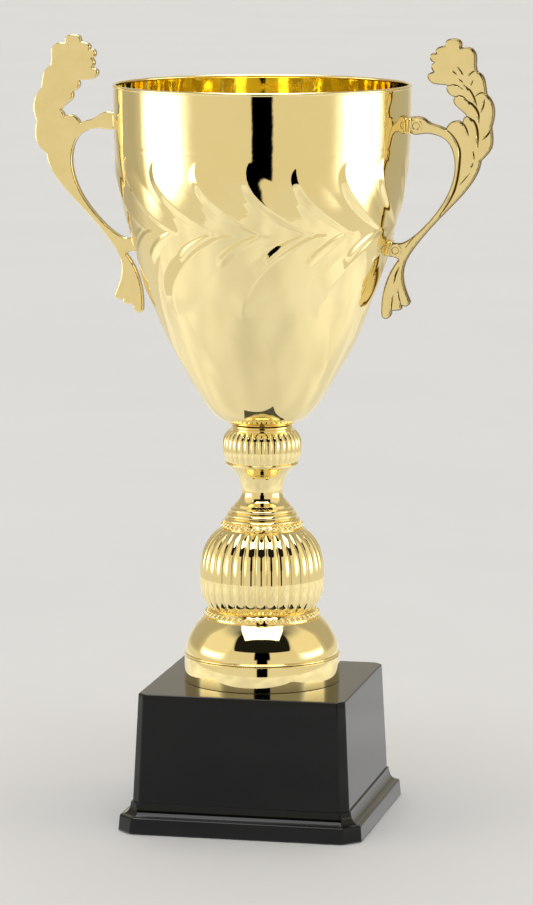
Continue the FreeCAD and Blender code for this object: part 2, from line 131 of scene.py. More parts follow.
def softened(loop, radius):
    """The closed loop with its sharp corners rounded."""
    found = []
    for i, here in enumerate(loop):
        back = loop[i - 1] - here
        ahead = loop[(i + 1) % len(loop)] - here
        back_length, ahead_length = np.linalg.norm(back), np.linalg.norm(ahead)
        cosine = np.dot(-back, ahead) / (back_length * ahead_length)
        turn = math.acos(max(-1.0, min(1.0, cosine)))
        if turn < SHARP_CORNER:
            found.append(here)
            continue
        cut = min(radius * math.tan(turn / 2), 0.4 * back_length, 0.4 * ahead_length)
        first = here + back * cut / back_length
        last = here + ahead * cut / ahead_length
        for share in (0.0, 0.2, 0.5, 0.8, 1.0):
            found.append((1 - share) ** 2 * first + 2 * share * (1 - share) * here
                         + share ** 2 * last)
    return found


# ---- meshes --------------------------------------------------------------

def mesh_piece(name, points, faces, paint, merge=True):
    """An object from points in millimetres, faces outward, smooth but for sharp edges."""
    mesh = bpy.data.meshes.new(name)
    mesh.from_pydata([tuple(c * MM for c in point) for point in points], [], faces)
    work = bmesh.new()
    work.from_mesh(mesh)
    if merge:
        bmesh.ops.remove_doubles(work, verts=work.verts, dist=1e-6)
    bmesh.ops.recalc_face_normals(work, faces=work.faces)
    for face in work.faces:
        face.smooth = True
    for edge in work.edges:
        edge.smooth = edge.is_manifold and edge.calc_face_angle(0) < SHARP_EDGE
    work.to_mesh(mesh)
    work.free()
    mesh.materials.append(paint)
    piece = bpy.data.objects.new(name, mesh)
    bpy.context.scene.collection.objects.link(piece)
    return piece


def skin(rows, closed=True):
    """Points and faces over rows of points; neighbours may differ by a whole factor."""
    points, faces, starts = [], [], []
    for row in rows:
        starts.append(len(points))
        points += [tuple(point) for point in row]
    last = len(rows) if closed else len(rows) - 1
    for i in range(last):
        j = (i + 1) % len(rows)
        few, many = (i, j) if len(rows[i]) <= len(rows[j]) else (j, i)
        n = len(rows[few])
        ratio = len(rows[many]) // n
        for k in range(n):
            a, b = starts[few] + k, starts[few] + (k + 1) % n
            fan = [starts[many] + (k * ratio + m) % len(rows[many]) for m in range(ratio + 1)]
            if ratio == 1:
                faces.append((a, b, fan[1], fan[0]))
                continue
            middle = ratio // 2
            for m in range(ratio):
                faces.append((a if m < middle else b, fan[m + 1], fan[m]))
            faces.append((a, b, fan[middle]))
    return points, faces


def circle_row(radius, z, count):
    """Points of one turned row."""
    turn = TURN * np.arange(count) / count
    return np.column_stack([radius * np.cos(turn), radius * np.sin(turn), np.full(count, z)])


def lathe(name, loop, count, paint):
    """A turned piece from a closed half section."""
    return mesh_piece(name, *skin([circle_row(r, z, count) for r, z in loop]), paint)


def baked(piece):
    """The piece with its modifiers made into a plain mesh."""
    graph = bpy.context.evaluated_depsgraph_get()
    made = bpy.data.meshes.new_from_object(piece.evaluated_get(graph))
    name = piece.data.name
    old = piece.data
    piece.modifiers.clear()
    piece.data = made
    bpy.data.meshes.remove(old)
    made.name = name
    return piece


def joined(name, parts):
    """One object from several closed ones."""
    bpy.ops.object.select_all(action="DESELECT")
    for part in parts:
        part.select_set(True)
    bpy.context.view_layer.objects.active = parts[0]
    bpy.ops.object.join()
    parts[0].name = parts[0].data.name = name
    return parts[0]


def belongs(piece, node):
    """Puts a finished piece under the root body and hides the frame's node it stands in for."""
    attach(piece, "root")
    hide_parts(node)


# ---- node trees ----------------------------------------------------------

def node(tree, kind, inputs=None, **settings):
    """A node with its settings, and its inputs linked or set."""
    made = tree.nodes.new(kind)
    for key, value in settings.items():
        setattr(made, key, value)
    for socket, value in (inputs or {}).items():
        if isinstance(value, bpy.types.NodeSocket):
            tree.links.new(value, made.inputs[socket])
        else:
            made.inputs[socket].default_value = value
    return made


def maths(tree, operation, a, b=0.0):
    """One step of arithmetic."""
    return node(tree, "ShaderNodeMath", {0: a, 1: b}, operation=operation).outputs[0]


def smooth_step(tree, value, low, high, first=0.0, last=1.0):
    """A smooth change from one value to another between two bounds."""
    ranged = node(tree, "ShaderNodeMapRange", {0: value, 1: low, 2: high, 3: first, 4: last},
                  interpolation_type="SMOOTHSTEP")
    return ranged.outputs[0]


def geometry_tree(name, inputs):
    """An empty geometry tree with named inputs; gives the tree and its input node."""
    tree = bpy.data.node_groups.new(name, "GeometryNodeTree")
    tree.interface.new_socket("Geometry", in_out="INPUT", socket_type="NodeSocketGeometry")
    tree.interface.new_socket("Geometry", in_out="OUTPUT", socket_type="NodeSocketGeometry")
    for label, kind, value in inputs:
        socket = tree.interface.new_socket(label, in_out="INPUT", socket_type=kind)
        if value is not None:
            socket.default_value = value
    return tree, tree.nodes.new("NodeGroupInput")


def close_tree(tree, group, result):
    """Ends a geometry tree with real meshes that carry the material."""
    real = node(tree, "GeometryNodeRealizeInstances", {0: result})
    painted = node(tree, "GeometryNodeSetMaterial", {"Geometry": real.outputs[0],
                                                     "Material": group.outputs["Material"]})
    node(tree, "NodeGroupOutput", {0: painted.outputs[0]})


def with_nodes(piece, tree, values):
    """Runs a geometry tree on the piece and keeps the result as a plain mesh."""
    modifier = piece.modifiers.new(tree.name, "NODES")
    modifier.node_group = tree
    for item in tree.interface.items_tree:
        if item.in_out == "INPUT" and item.name in values:
            modifier[item.identifier] = values[item.name]
    return baked(piece)


def rib_tree():
    """Presses round ribs into a turned piece's outside, shallow at both ends."""
    tree, group = geometry_tree("Round ribs", [
        ("Ribs", "NodeSocketInt", 32), ("Depth", "NodeSocketFloat", 1.1 * MM),
        ("Bottom", "NodeSocketFloat", 0.0), ("Top", "NodeSocketFloat", 0.1),
        ("Run-out", "NodeSocketFloat", 5 * MM), ("Material", "NodeSocketMaterial", None)])
    place = node(tree, "ShaderNodeSeparateXYZ",
                 {0: node(tree, "GeometryNodeInputPosition").outputs[0]}).outputs
    radius = maths(tree, "SQRT", maths(tree, "ADD", maths(tree, "MULTIPLY", place[0], place[0]),
                                       maths(tree, "MULTIPLY", place[1], place[1])))
    turn = maths(tree, "ARCTAN2", place[1], place[0])
    wave = maths(tree, "MULTIPLY", maths(tree, "MULTIPLY", turn, group.outputs["Ribs"]), 0.5)
    crown = maths(tree, "ABSOLUTE", maths(tree, "COSINE", wave))
    sharp = node(tree, "ShaderNodeMapRange", {0: crown, 1: 0.0, 2: 0.3, 3: 1.0, 4: 0.0}).outputs[0]
    groove = maths(tree, "ADD", maths(tree, "MULTIPLY", maths(tree, "SUBTRACT", 1.0, crown), 0.6),
                   maths(tree, "MULTIPLY", maths(tree, "POWER", sharp, 1.5), 0.4))
    from_bottom = maths(tree, "SUBTRACT", place[2], group.outputs["Bottom"])
    from_top = maths(tree, "SUBTRACT", group.outputs["Top"], place[2])
    ease = maths(tree, "MULTIPLY",
                 smooth_step(tree, from_bottom, 0.0, group.outputs["Run-out"], 0.1),
                 smooth_step(tree, from_top, 0.0, group.outputs["Run-out"], 0.1))
    outside = node(tree, "GeometryNodeInputNamedAttribute", {"Name": "outside"},
                   data_type="FLOAT").outputs[0]
    depth = maths(tree, "MULTIPLY", maths(tree, "MULTIPLY", groove, group.outputs["Depth"]),
                  maths(tree, "MULTIPLY", ease, outside))
    shrink = maths(tree, "SUBTRACT", 1.0, maths(tree, "DIVIDE", depth, radius))
    moved = node(tree, "ShaderNodeCombineXYZ", {0: maths(tree, "MULTIPLY", place[0], shrink),
                                                1: maths(tree, "MULTIPLY", place[1], shrink),
                                                2: place[2]})
    result = node(tree, "GeometryNodeSetPosition", {"Geometry": group.outputs["Geometry"],
                                                    "Position": moved.outputs[0]})
    close_tree(tree, group, result.outputs[0])
    return tree


def bead_tree():
    """Adds a ring of round beads to a turned piece."""
    tree, group = geometry_tree("Bead ring", [
        ("Beads", "NodeSocketInt", 36), ("Ring radius", "NodeSocketFloat", 18 * MM),
        ("Bead radius", "NodeSocketFloat", 1.25 * MM), ("Height", "NodeSocketFloat", 0.1),
        ("Material", "NodeSocketMaterial", None)])
    ring = node(tree, "GeometryNodeMeshCircle", {"Vertices": group.outputs["Beads"],
                                                 "Radius": group.outputs["Ring radius"]})
    lift = node(tree, "ShaderNodeCombineXYZ", {2: group.outputs["Height"]})
    raised = node(tree, "GeometryNodeSetPosition", {"Geometry": ring.outputs[0],
                                                    "Offset": lift.outputs[0]})
    ball = node(tree, "GeometryNodeMeshIcoSphere", {"Radius": group.outputs["Bead radius"],
                                                    "Subdivisions": 3})
    smooth = node(tree, "GeometryNodeSetShadeSmooth", {0: ball.outputs[0]})
    beads = node(tree, "GeometryNodeInstanceOnPoints", {"Points": raised.outputs[0],
                                                        "Instance": smooth.outputs[0]})
    both = node(tree, "GeometryNodeJoinGeometry", {0: beads.outputs[0]})
    tree.links.new(group.outputs["Geometry"], both.inputs[0])
    close_tree(tree, group, both.outputs[0])
    return tree


# ---- materials -----------------------------------------------------------

def empty_material(name):
    """A new material with an empty node tree, and that tree."""
    made = bpy.data.materials.new(name)
    made.use_nodes = True
    made.node_tree.nodes.clear()
    return made, made.node_tree


def material(name, colours, rough, metal=0.0, grain=60.0, bump=0.0, bump_size=300.0,
             specular=0.5, scratches=0.0, sheen=0.0, painted_crease_shade=None):
    """A procedural finish: two colours and two roughnesses mixed by noise, fine bumps, scratches."""
    made = bpy.data.materials.get(name)
    if made:
        return made
    made, tree = empty_material(name)
    place = node(tree, "ShaderNodeTexCoord").outputs["Object"]
    cloud = node(tree, "ShaderNodeTexNoise", {"Vector": place, "Scale": grain, "Detail": 5.0,
                                              "Roughness": 0.6}).outputs["Fac"]
    tint = node(tree, "ShaderNodeMix", {0: smooth_step(tree, cloud, 0.35, 0.65),
                                        6: (*colours[0], 1.0), 7: (*colours[1], 1.0)},
                data_type="RGBA").outputs[2]
    # painted shade: where the groove attribute is high, the base colour darkens toward the painted shade
    # colour
    if painted_crease_shade:
        groove = node(tree, "ShaderNodeAttribute", attribute_name="groove").outputs["Fac"]
        tint = node(tree, "ShaderNodeMix", {0: groove, 6: tint, 7: (*painted_crease_shade, 1.0)},
                    data_type="RGBA").outputs[2]
    roughness = node(tree, "ShaderNodeMapRange", {0: cloud, 1: 0.3, 2: 0.7,
                                                  3: rough[0], 4: rough[1]}).outputs[0]
    skin_shader = node(tree, "ShaderNodeBsdfPrincipled", {
        "Base Color": tint, "Roughness": roughness, "Metallic": metal,
        "Specular IOR Level": specular, "Sheen Weight": sheen})
    height = node(tree, "ShaderNodeTexNoise", {"Vector": place, "Scale": bump_size,
                                               "Detail": 3.0}).outputs["Fac"]
    if scratches:
        stretched = node(tree, "ShaderNodeMapping", {"Vector": place, "Scale": (900, 900, 40),
                                                     "Rotation": (0.3, 0.2, 0.1)}).outputs[0]
        lines = node(tree, "ShaderNodeTexNoise", {"Vector": stretched, "Scale": 1.0,
                                                  "Detail": 1.0}).outputs["Fac"]
        height = maths(tree, "ADD", height,
                       maths(tree, "MULTIPLY", smooth_step(tree, lines, 0.66, 0.72), scratches))
    if bump:
        relief = node(tree, "ShaderNodeBump", {"Height": height, "Strength": bump,
                                               "Distance": 0.1 * MM})
        tree.links.new(relief.outputs[0], skin_shader.inputs["Normal"])
    node(tree, "ShaderNodeOutputMaterial", {0: skin_shader.outputs[0]})
    return made


def gold_sheet():
    """Bright plating on the outside of the bowl."""
    return material("gold plated sheet", ((0.94, 0.80, 0.42), (0.92, 0.77, 0.39)),
                    (0.02, 0.05), metal=1.0, grain=25.0, bump=0.6, bump_size=90.0)


def gold_inside():
    """Deeper, slightly uneven plating inside the bowl."""
    return material("gold plated inside", ((0.94, 0.86, 0.46), (0.90, 0.81, 0.40)),
                    (0.02, 0.05), metal=1.0, grain=60.0, bump=0.8, bump_size=75.0)


def gold_casting():
    """Softer plating of the handles, with painted shade in the creases and along the outline."""
    return material("gold plated casting", ((0.94, 0.80, 0.43), (0.91, 0.76, 0.39)),
                    (0.12, 0.16), metal=1.0, grain=90.0, bump=0.1, bump_size=380.0,
                    painted_crease_shade=(0.09, 0.05, 0.012))


def gold_plastic():
    """Mirror-bright metallised plastic of the column."""
    return material("gold metallised plastic", ((0.95, 0.80, 0.40), (0.93, 0.77, 0.37)),
                    (0.02, 0.06), metal=1.0, grain=70.0, bump=0.04, bump_size=160.0)


def black_gloss():
    """Glossy black plastic of the plinth, finely scratched."""
    return material("black gloss plastic", ((0.0012, 0.0015, 0.0012), (0.0025, 0.003, 0.0025)),
                    (0.03, 0.09), grain=40.0, bump=0.06, bump_size=260.0, specular=0.28,
                    scratches=0.15)


def zinc_steel():
    """Dull zinc on the rod, nuts, washers and screws."""
    return material("zinc plated steel", ((0.62, 0.62, 0.60), (0.50, 0.51, 0.50)),
                    (0.22, 0.40), metal=1.0, grain=400.0, bump=0.2, bump_size=900.0)


def cast_iron():
    """Raw casting of the ballast."""
    return material("cast iron", ((0.035, 0.034, 0.033), (0.09, 0.075, 0.06)),
                    (0.55, 0.8), metal=0.6, grain=120.0, bump=0.9, bump_size=700.0)


def hardboard():
    """Pressed fibre board under the plinth."""
    return material("hardboard", ((0.15, 0.085, 0.045), (0.23, 0.14, 0.08)),
                    (0.6, 0.85), grain=500.0, bump=0.5, bump_size=1600.0)


def felt():
    """Short dark felt."""
    return material("pressed felt", ((0.012, 0.02, 0.014), (0.03, 0.045, 0.033)),
                    (0.9, 1.0), grain=700.0, bump=0.9, bump_size=2200.0, specular=0.1, sheen=0.4)


# ---- bowl ----------------------------------------------------------------

def leaf_ring(turn, z, count, start, root, tip, sweep, half_width, height, edge):
    """Height at one level of a ring of like leaves, steep on one edge, that bend from root to tip."""
    along = (z - root) / (tip - root)
    if not 0.0 < along < 1.0:
        return np.zeros_like(turn)
    pitch = TURN / count
    spine = start + sweep * (1 - (1 - along) ** 1.9)
    width = half_width * 1.5 * along ** 0.4 * (1 - along) ** 0.6
    across = (turn - spine + pitch / 2) % pitch - pitch / 2
    swell = np.zeros_like(turn)
    for shift in (-pitch, 0.0, pitch):
        side = np.clip(0.5 + 0.5 * (across + shift) / width, 0, 1)
        rise = np.clip(side / edge, 0, 1) ** 1.2
        fall = np.clip((1 - side) / (1 - edge), 0, 1) ** 1.3
        swell = np.maximum(swell, rise * fall)
    return height * swell * (0.25 + 0.75 * along) * min(1.0, 3.5 * (1 - along))


def garland(turn, z, settings):
    """How far the embossed leaves stand out of the bowl's wall."""
    degree = math.radians(1)
    facing = -math.pi / 2 + VIEW_ANGLE
    count = settings.leaf_count
    stem = settings.stem_height / MM
    size = settings.leaf_relief / MM
    upper = leaf_ring(turn, z, count, facing + 22 * degree, stem - 1, stem + 33, -27 * degree,
                      10.5 * degree, 1.35 * size, 0.26)
    lower = leaf_ring(turn, z, count, facing + 19 * degree, stem - 0.5, stem - 17,
                      -18 * degree, 6.5 * degree, 0.85 * size, 0.5)
    frond = leaf_ring(turn, z, count / 2, facing + 26 * degree, stem - 1, stem - 44,
                      -34 * degree, 19 * degree, 1.5 * size, 0.35)
    wave = leaf_ring(turn, z, count / 2, facing - 14 * degree, stem - 34, stem - 74,
                     24 * degree, 19 * degree, size, 0.5)
    line = -0.12 * math.exp(-((z - stem - 36) / 0.5) ** 2)
    swell = np.maximum(np.maximum(upper, lower), np.maximum(frond, wave))
    lug = np.minimum(np.abs(turn % math.pi), math.pi - np.abs(turn % math.pi)) / degree
    clear = np.clip((lug - 3.6) / 4, 0, 1)
    clear = clear * clear * (3 - 2 * clear)
    near = max(0.0, 1 - max(0.0, abs(z - LOWER_LUG) - 6) / 5)
    return swell * (1 - near * (1 - clear)) + line


def bowl_rows(settings):
    """Rows of the spun and embossed sheet: outside up, over the rolled rim, inside down."""
    rim_r, rim_z, bead = 69.25, RIM_TOP - 0.85, 0.85
    rim = [np.array((rim_r + bead * math.cos(math.radians(a)),
                     rim_z + bead * math.sin(math.radians(a)))) for a in range(-60, 241, 25)]
    knots = [(12.6, KNOB_TOP), (19.3, 189.9), (28.6, 200.0), (39.9, 220.0), (49.2, 240.0),
             (56.5, 260.0), (62.2, 280.0), (66.8, 300.0), (69.0, 318.0), (69.6, 334.0), rim[0]]
    fine = np.array(curve_points(knots, 0.2))
    reach = np.concatenate([[0], np.cumsum(np.linalg.norm(np.diff(fine, axis=0), axis=1))])
    slope = np.gradient(fine, axis=0)
    slope /= np.linalg.norm(slope, axis=1)[:, None]
    normal = np.column_stack([slope[:, 1], -slope[:, 0]])

    def wall(depth, spacings):
        rows, at = [], 0.0
        while at < reach[-1]:
            i = int(np.searchsorted(reach, at))
            z = fine[i][1]
            step, count = next((s, c) for top, s, c in spacings if z < top)
            turn = TURN * np.arange(count) / count
            out = garland(turn, z, settings) - depth
            r = fine[i][0] + normal[i][0] * out
            rows.append(np.column_stack([r * np.cos(turn), r * np.sin(turn),
                                         z + normal[i][1] * out]))
            at += step
        return rows

    few = BOWL_POINTS
    outside = wall(0.0, [(224, 2.2, few), (260, 1.4, 2 * few),
                         (322, settings.row_gap / MM, 4 * few), (400, 2.0, few)])
    inside = wall(SHEET_WALL, [(260, 3.0, few), (322, 1.6, 2 * few), (400, 3.0, few)])
    rows = outside + [circle_row(r, z, few) for r, z in rim] + inside[::-1]
    floor = KNOB_TOP + SHEET_WALL
    rows += [circle_row(r, floor, few) for r in (8.0, ROD_HOLE + 0.1)]
    rows += [circle_row(ROD_HOLE, z, few) for z in (floor - 0.1, KNOB_TOP + 0.1)]
    rows += [circle_row(r, KNOB_TOP, few) for r in (ROD_HOLE + 0.1, 8.0)]
    return rows


class CupBowlSettings(bpy.types.PropertyGroup):
    """Choices for the bowl."""
    leaf_count: bpy.props.IntProperty(
        name="Leaves", description="Leaves in each ring of the garland", default=18, min=4)
    leaf_relief: bpy.props.FloatProperty(
        name="Relief", description="How far a leaf stands out of the wall",
        default=0.9 * MM, subtype="DISTANCE", unit="LENGTH", precision=5)
    stem_height: bpy.props.FloatProperty(
        name="Stem height", description="Height of the garland's stem above the table",
        default=283.5 * MM, subtype="DISTANCE", unit="LENGTH", precision=5)
    row_gap: bpy.props.FloatProperty(
        name="Row gap", description="Distance between mesh rows in the garland",
        default=0.75 * MM, subtype="DISTANCE", unit="LENGTH", precision=5)


class OBJECT_OT_cup_bowl(bpy.types.Operator):
    """Build the spun bowl with its embossed garland and rolled rim"""
    bl_idname = "object.cup_bowl"
    bl_label = "Bowl"

    def execute(self, context):
        rows = bowl_rows(context.scene.cup_bowl)
        piece = mesh_piece("bowl_embossed", *skin(rows), gold_sheet())
        piece.data.materials.append(gold_inside())
        for face in piece.data.polygons:
            faces_in = face.normal.x * face.center.x + face.normal.y * face.center.y < 0
            if faces_in and face.center.z < (RIM_TOP - 2) * MM:
                face.material_index = 1
        belongs(piece, "bowl")
        return {"FINISHED"}


# ---- handles -------------------------------------------------------------

# creases of the right handle's relief: points, half width, depth
CREASES = [
    ([(87.2, 328.3), (90.5, 325.4), (92.9, 321.7), (93.9, 318.5), (94.1, 315.3), (93.8, 311.1),
      (92.3, 302.2), (90.0, 296.2), (85.0, 288.4)], 0.68, 0.85),
    ([(95.1, 331.5), (96.8, 328.9), (98.0, 325.5)], 0.48, 0.65),
    ([(97.0, 334.3), (100.6, 331.8), (102.2, 327.5), (102.4, 320.3)], 0.65, 0.91),
    ([(100.3, 318.3), (100.8, 314.5)], 0.41, 0.52),
    ([(100.4, 312.6), (99.4, 310.5)], 0.34, 0.45),
    ([(98.5, 307.5), (94.2, 302.5)], 0.34, 0.33),
    ([(108.4, 328.5), (107.1, 326.0), (105.0, 323.8)], 0.48, 0.59),
    ([(96.0, 348.4), (98.7, 346.1), (100.5, 342.9), (101.9, 339.3)], 0.51, 0.65),
    ([(96.6, 341.9), (100.5, 339.0), (102.5, 335.8), (102.8, 331.6)], 0.65, 0.91),
    ([(93.6, 351.4), (95.4, 349.7)], 0.34, 0.45),
    ([(90.6, 355.1), (92.2, 353.6)], 0.34, 0.45),
    ([(93.1, 356.6), (95.4, 353.5)], 0.37, 0.52),
    ([(100.0, 350.8), (99.2, 348.8)], 0.34, 0.45),
    ([(105.4, 342.1), (105.0, 339.3), (104.0, 336.4)], 0.44, 0.59),
    ([(91.2, 343.1), (94.2, 343.6), (97.6, 341.4)], 0.41, 0.45),
    ([(88.0, 348.2), (91.3, 348.6), (95.0, 347.0)], 0.41, 0.45),
    ([(102.2, 354.8), (100.3, 355.0), (98.0, 352.6)], 0.41, 0.45),
    ([(106.7, 344.1), (104.0, 345.2), (101.3, 343.6)], 0.41, 0.45),
    ([(65.7, 263.4), (64.2, 259.9), (63.4, 256.3)], 0.41, 0.65),
    ([(62.0, 242.2), (62.3, 246.0), (62.9, 250.0)], 0.34, 0.45),
    ([(66.8, 245.5), (65.8, 249.0), (65.2, 253.0)], 0.34, 0.45),
    ([(68.9, 272.8), (74.0, 279.4), (79.7, 285.0)], 0.31, 0.21),
]
BOSSES = ((73.42, 329.41), (63.89, 271.26))
LUGS = ((UPPER_LUG, 0.068), (LOWER_LUG, 0.254))
PLATE_HALF = 2.2


def plate_outline(part):
    """The edge of a node's plain flat face, as one closed loop of (x, z) in millimetres."""
    mesh = part.data
    open_edges = {}

    def key(i):
        return round(mesh.vertices[i].co.x / MM, 3), round(mesh.vertices[i].co.z / MM, 3)

    for face in mesh.polygons:
        flat = all(abs(mesh.vertices[i].co.y / MM - PLATE_HALF) < 0.01 for i in face.vertices)
        if not flat or abs(face.normal.y) < 0.99:
            continue
        ring = [key(i) for i in face.vertices]
        for a, b in zip(ring, ring[1:] + ring[:1]):
            if open_edges.get(b) and a in open_edges[b]:
                open_edges[b].remove(a)
            else:
                open_edges.setdefault(a, []).append(b)
    loops = []
    while any(open_edges.values()):
        start = next(a for a, ends in open_edges.items() if ends)
        loop, here = [], start
        while open_edges.get(here):
            loop.append(here)
            here = open_edges[here].pop()
        loops.append(loop)
    return np.array(max(loops, key=lambda loop: np.ptp([z for x, z in loop])))


def spread(loop, step):
    """The closed loop with points no further apart than step."""
    found = []
    for a, b in zip(loop, np.roll(loop, -1, axis=0)):
        pieces = max(1, math.ceil(np.linalg.norm(b - a) / step))
        found += [a + (b - a) * k / pieces for k in range(pieces)]
    return np.array(found)


def distance_to(points, line, closed):
    """Distance of each point from a line of straight stretches, and how far along it is."""
    ends = np.roll(line, -1, axis=0) if closed else line[1:]
    starts = line if closed else line[:-1]
    best = np.full(len(points), 1e9)
    along = np.zeros(len(points))
    total = sum(np.linalg.norm(b - a) for a, b in zip(starts, ends))
    passed = 0.0
    for a, b in zip(starts, ends):
        length = np.linalg.norm(b - a)
        if length < 1e-9:
            continue
        share = np.clip((points - a) @ (b - a) / length ** 2, 0, 1)
        gap = np.linalg.norm(points - a - share[:, None] * (b - a), axis=1)
        nearer = gap < best
        best[nearer] = gap[nearer]
        along[nearer] = (passed + share[nearer] * length) / total
        passed += length
    return best, along


def inside_loop(points, loop):
    """Which points lie inside the closed loop."""
    found = np.zeros(len(points), bool)
    for (ax, az), (bx, bz) in zip(loop, np.roll(loop, -1, axis=0)):
        if az == bz:
            continue
        crosses = (az > points[:, 1]) != (bz > points[:, 1])
        at = ax + (points[:, 1] - az) / (bz - az) * (bx - ax)
        found ^= crosses & (points[:, 0] < at)
    return found


def handle_face(settings):
    """Flat points, triangles and edge distances of the handle's outline."""
    loop = spread(plate_outline(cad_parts["handle_right"]), 0.45)
    at_wall = (loop[:, 0] < 71.5 - 0.15 * (330 - loop[:, 1])) & (loop[:, 1] > 262)
    loop[at_wall] -= (0.7, 0.0)
    ahead = np.roll(loop, -1, axis=0) - np.roll(loop, 1, axis=0)
    ahead /= np.maximum(np.linalg.norm(ahead, axis=1), 1e-9)[:, None]
    side = np.column_stack([-ahead[:, 1], ahead[:, 0]])
    candidates = [loop + sign * side * inset for inset in (0.18, 0.45) for sign in (-1, 1)]
    gap = settings.mesh_gap / MM
    xs = np.arange(loop[:, 0].min(), loop[:, 0].max(), gap)
    zs = np.arange(loop[:, 1].min(), loop[:, 1].max(), gap * 0.87)
    grid = np.array([(x + (0.5 * gap if k % 2 else 0.0), z) for k, z in enumerate(zs) for x in xs])
    far = distance_to(grid, loop, True)[0]
    kept = [grid[inside_loop(grid, loop) & (far > 0.7)]]
    for ring, inset in zip(candidates, (0.18, 0.18, 0.45, 0.45)):
        near = distance_to(ring, loop, True)[0]
        kept.append(ring[inside_loop(ring, loop) & (near > 0.9 * inset)])
    rails, clear = [], np.ones(len(np.vstack(kept)), bool)
    for points, width, _ in CREASES:
        line = np.array(curve_points(points, 0.4))
        ahead = np.gradient(line, axis=0)
        ahead /= np.linalg.norm(ahead, axis=1)[:, None]
        across = np.column_stack([-ahead[:, 1], ahead[:, 0]])
        rails += [line + across * width * share for share in (-1.0, -0.5, 0.0, 0.5, 1.0)]
        clear &= distance_to(np.vstack(kept), line, False)[0] > 1.2 * width
    rails = np.vstack(rails)
    rails = rails[inside_loop(rails, loop) & (distance_to(rails, loop, True)[0] > 0.15)]
    flat = np.vstack([loop, np.vstack(kept)[clear], rails])
    coords, _, faces, *_ = geometry.delaunay_2d_cdt(
        [Vector(p) for p in flat], [], [list(range(len(loop)))], 1, 1e-4)
    coords = np.array([tuple(c) for c in coords])
    return coords, [tuple(f) for f in faces], distance_to(coords, loop, True)[0]


def edge_drop(far, radius):
    """How far a rounded edge falls away at a distance from the outline."""
    share = np.clip(1 - far / radius, 0, 1)
    return radius * (1 - np.sqrt(1 - share ** 2))


def handle_plate(settings, paint):
    """The flat casting with its pressed leaves in front and a plain back."""
    flat, faces, far = handle_face(settings)
    front = PLATE_HALF - 0.3 * np.exp(-far / 2.2) - edge_drop(far, 0.6)
    # painted shade and painted reflection: the face's colour darkens close to its outline
    dark = np.clip(1.6 - far / 0.35, 0, 1)
    back = PLATE_HALF - 0.05 - edge_drop(far, 0.6)
    for points, width, depth in CREASES:
        line = np.array(curve_points(points, 0.5))
        gap, along = distance_to(flat, line, False)
        taper = np.sqrt(np.clip(np.sin(math.pi * np.clip(along, 0.04, 0.96)), 0, 1))
        groove = np.clip(1 - gap / (width * taper), 0, 1)
        front -= settings.crease / MM * depth * taper * groove
        front -= 0.12 * depth * np.exp(-(gap / 2.0) ** 2) * taper
        # painted shade in each crease, joined with the outline's
        dark = np.maximum(dark, groove ** 0.7)
    ripple = np.array([noise.noise(Vector((x * 0.16, z * 0.16, 3.0))) for x, z in flat])
    back += 0.09 * (ripple - 0.6)
    count = len(flat)
    points = [(x, -y, z) for (x, z), y in zip(flat, front)]
    points += [(x, y, z) for (x, z), y in zip(flat, back)]
    seen = {}
    for face in faces:
        for a, b in zip(face, face[1:] + face[:1]):
            if (b, a) in seen:
                del seen[(b, a)]
            else:
                seen[(a, b)] = True
    sides = [(b, a, a + count, b + count) for a, b in seen]
    mesh_faces = faces + [tuple(i + count for i in face[::-1]) for face in faces] + sides
    plate = mesh_piece("plate", points, mesh_faces, paint, merge=False)
    # the groove attribute carries the painted shade to the casting's colour
    painted_shade_layer = plate.data.attributes.new("groove", "FLOAT", "POINT")
    painted_shade_layer.data.foreach_set("value", np.concatenate([dark, 0.0 * dark]))
    return plate


def boss_ring(x, z, paint):
    """The raised ring on a lug."""
    loop = softened(section((3.0, -1.9), [
        ("line", [(3.0, -2.5), (1.75, -2.5), (1.55, -2.1), (0.05, -2.1), (0.05, -1.9)])]), 0.25)
    ring = lathe("boss", loop, 48, paint)
    # painted shade: the groove attribute darkens the ring's inner step and its outer edge
    painted_shade_layer = ring.data.attributes.new("groove", "FLOAT", "POINT")
    for vertex, groove in zip(ring.data.vertices, painted_shade_layer.data):
        radius = math.hypot(vertex.co.x, vertex.co.y) / MM
        groove.value = 0.9 if abs(radius - 1.6) < 0.12 or radius > 2.95 else 0.0
    ring.data.transform(Matrix.Translation((x * MM, 0, z * MM))
                        @ Matrix.Rotation(-math.pi / 2, 4, "X"))
    return ring


def lug_pad(z, lean, paint):
    """The small foot between a lug and the bowl."""
    work = bmesh.new()
    bmesh.ops.create_cube(work, size=1.0)
    bmesh.ops.scale(work, verts=work.verts, vec=(1.8 * MM, 7.4 * MM, 7.4 * MM))
    long_edges = [e for e in work.edges if abs((e.verts[0].co - e.verts[1].co).x) > 1 * MM]
    bmesh.ops.bevel(work, geom=long_edges, offset=1.2 * MM, segments=5, affect="EDGES", profile=0.5)
    outer = [e for e in work.edges if all(v.co.x > 0.8 * MM for v in e.verts)]
    bmesh.ops.bevel(work, geom=outer, offset=0.35 * MM, segments=3, affect="EDGES", profile=0.5)
    for face in work.faces:
        face.smooth = True
    mesh = bpy.data.meshes.new("pad")
    work.to_mesh(mesh)
    work.free()
    mesh.materials.append(paint)
    pad = bpy.data.objects.new("pad", mesh)
    bpy.context.scene.collection.objects.link(pad)
    wall = bowl_radius(z)
    mesh.transform(Matrix.Translation((wall * MM, 0, z * MM)) @ Matrix.Rotation(lean, 4, "Y")
                   @ Matrix.Translation((0.6 * MM, 0, 0)))
    return pad


def bowl_radius(z):
    """The bowl's outer radius at a height, read from the frame."""
    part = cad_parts["bowl"]
    heights = [(abs(v.co.z / MM - z), math.hypot(v.co.x, v.co.y) / MM) for v in part.data.vertices]
    nearest = min(gap for gap, r in heights)
    return max(r for gap, r in heights if gap < nearest + 0.8)


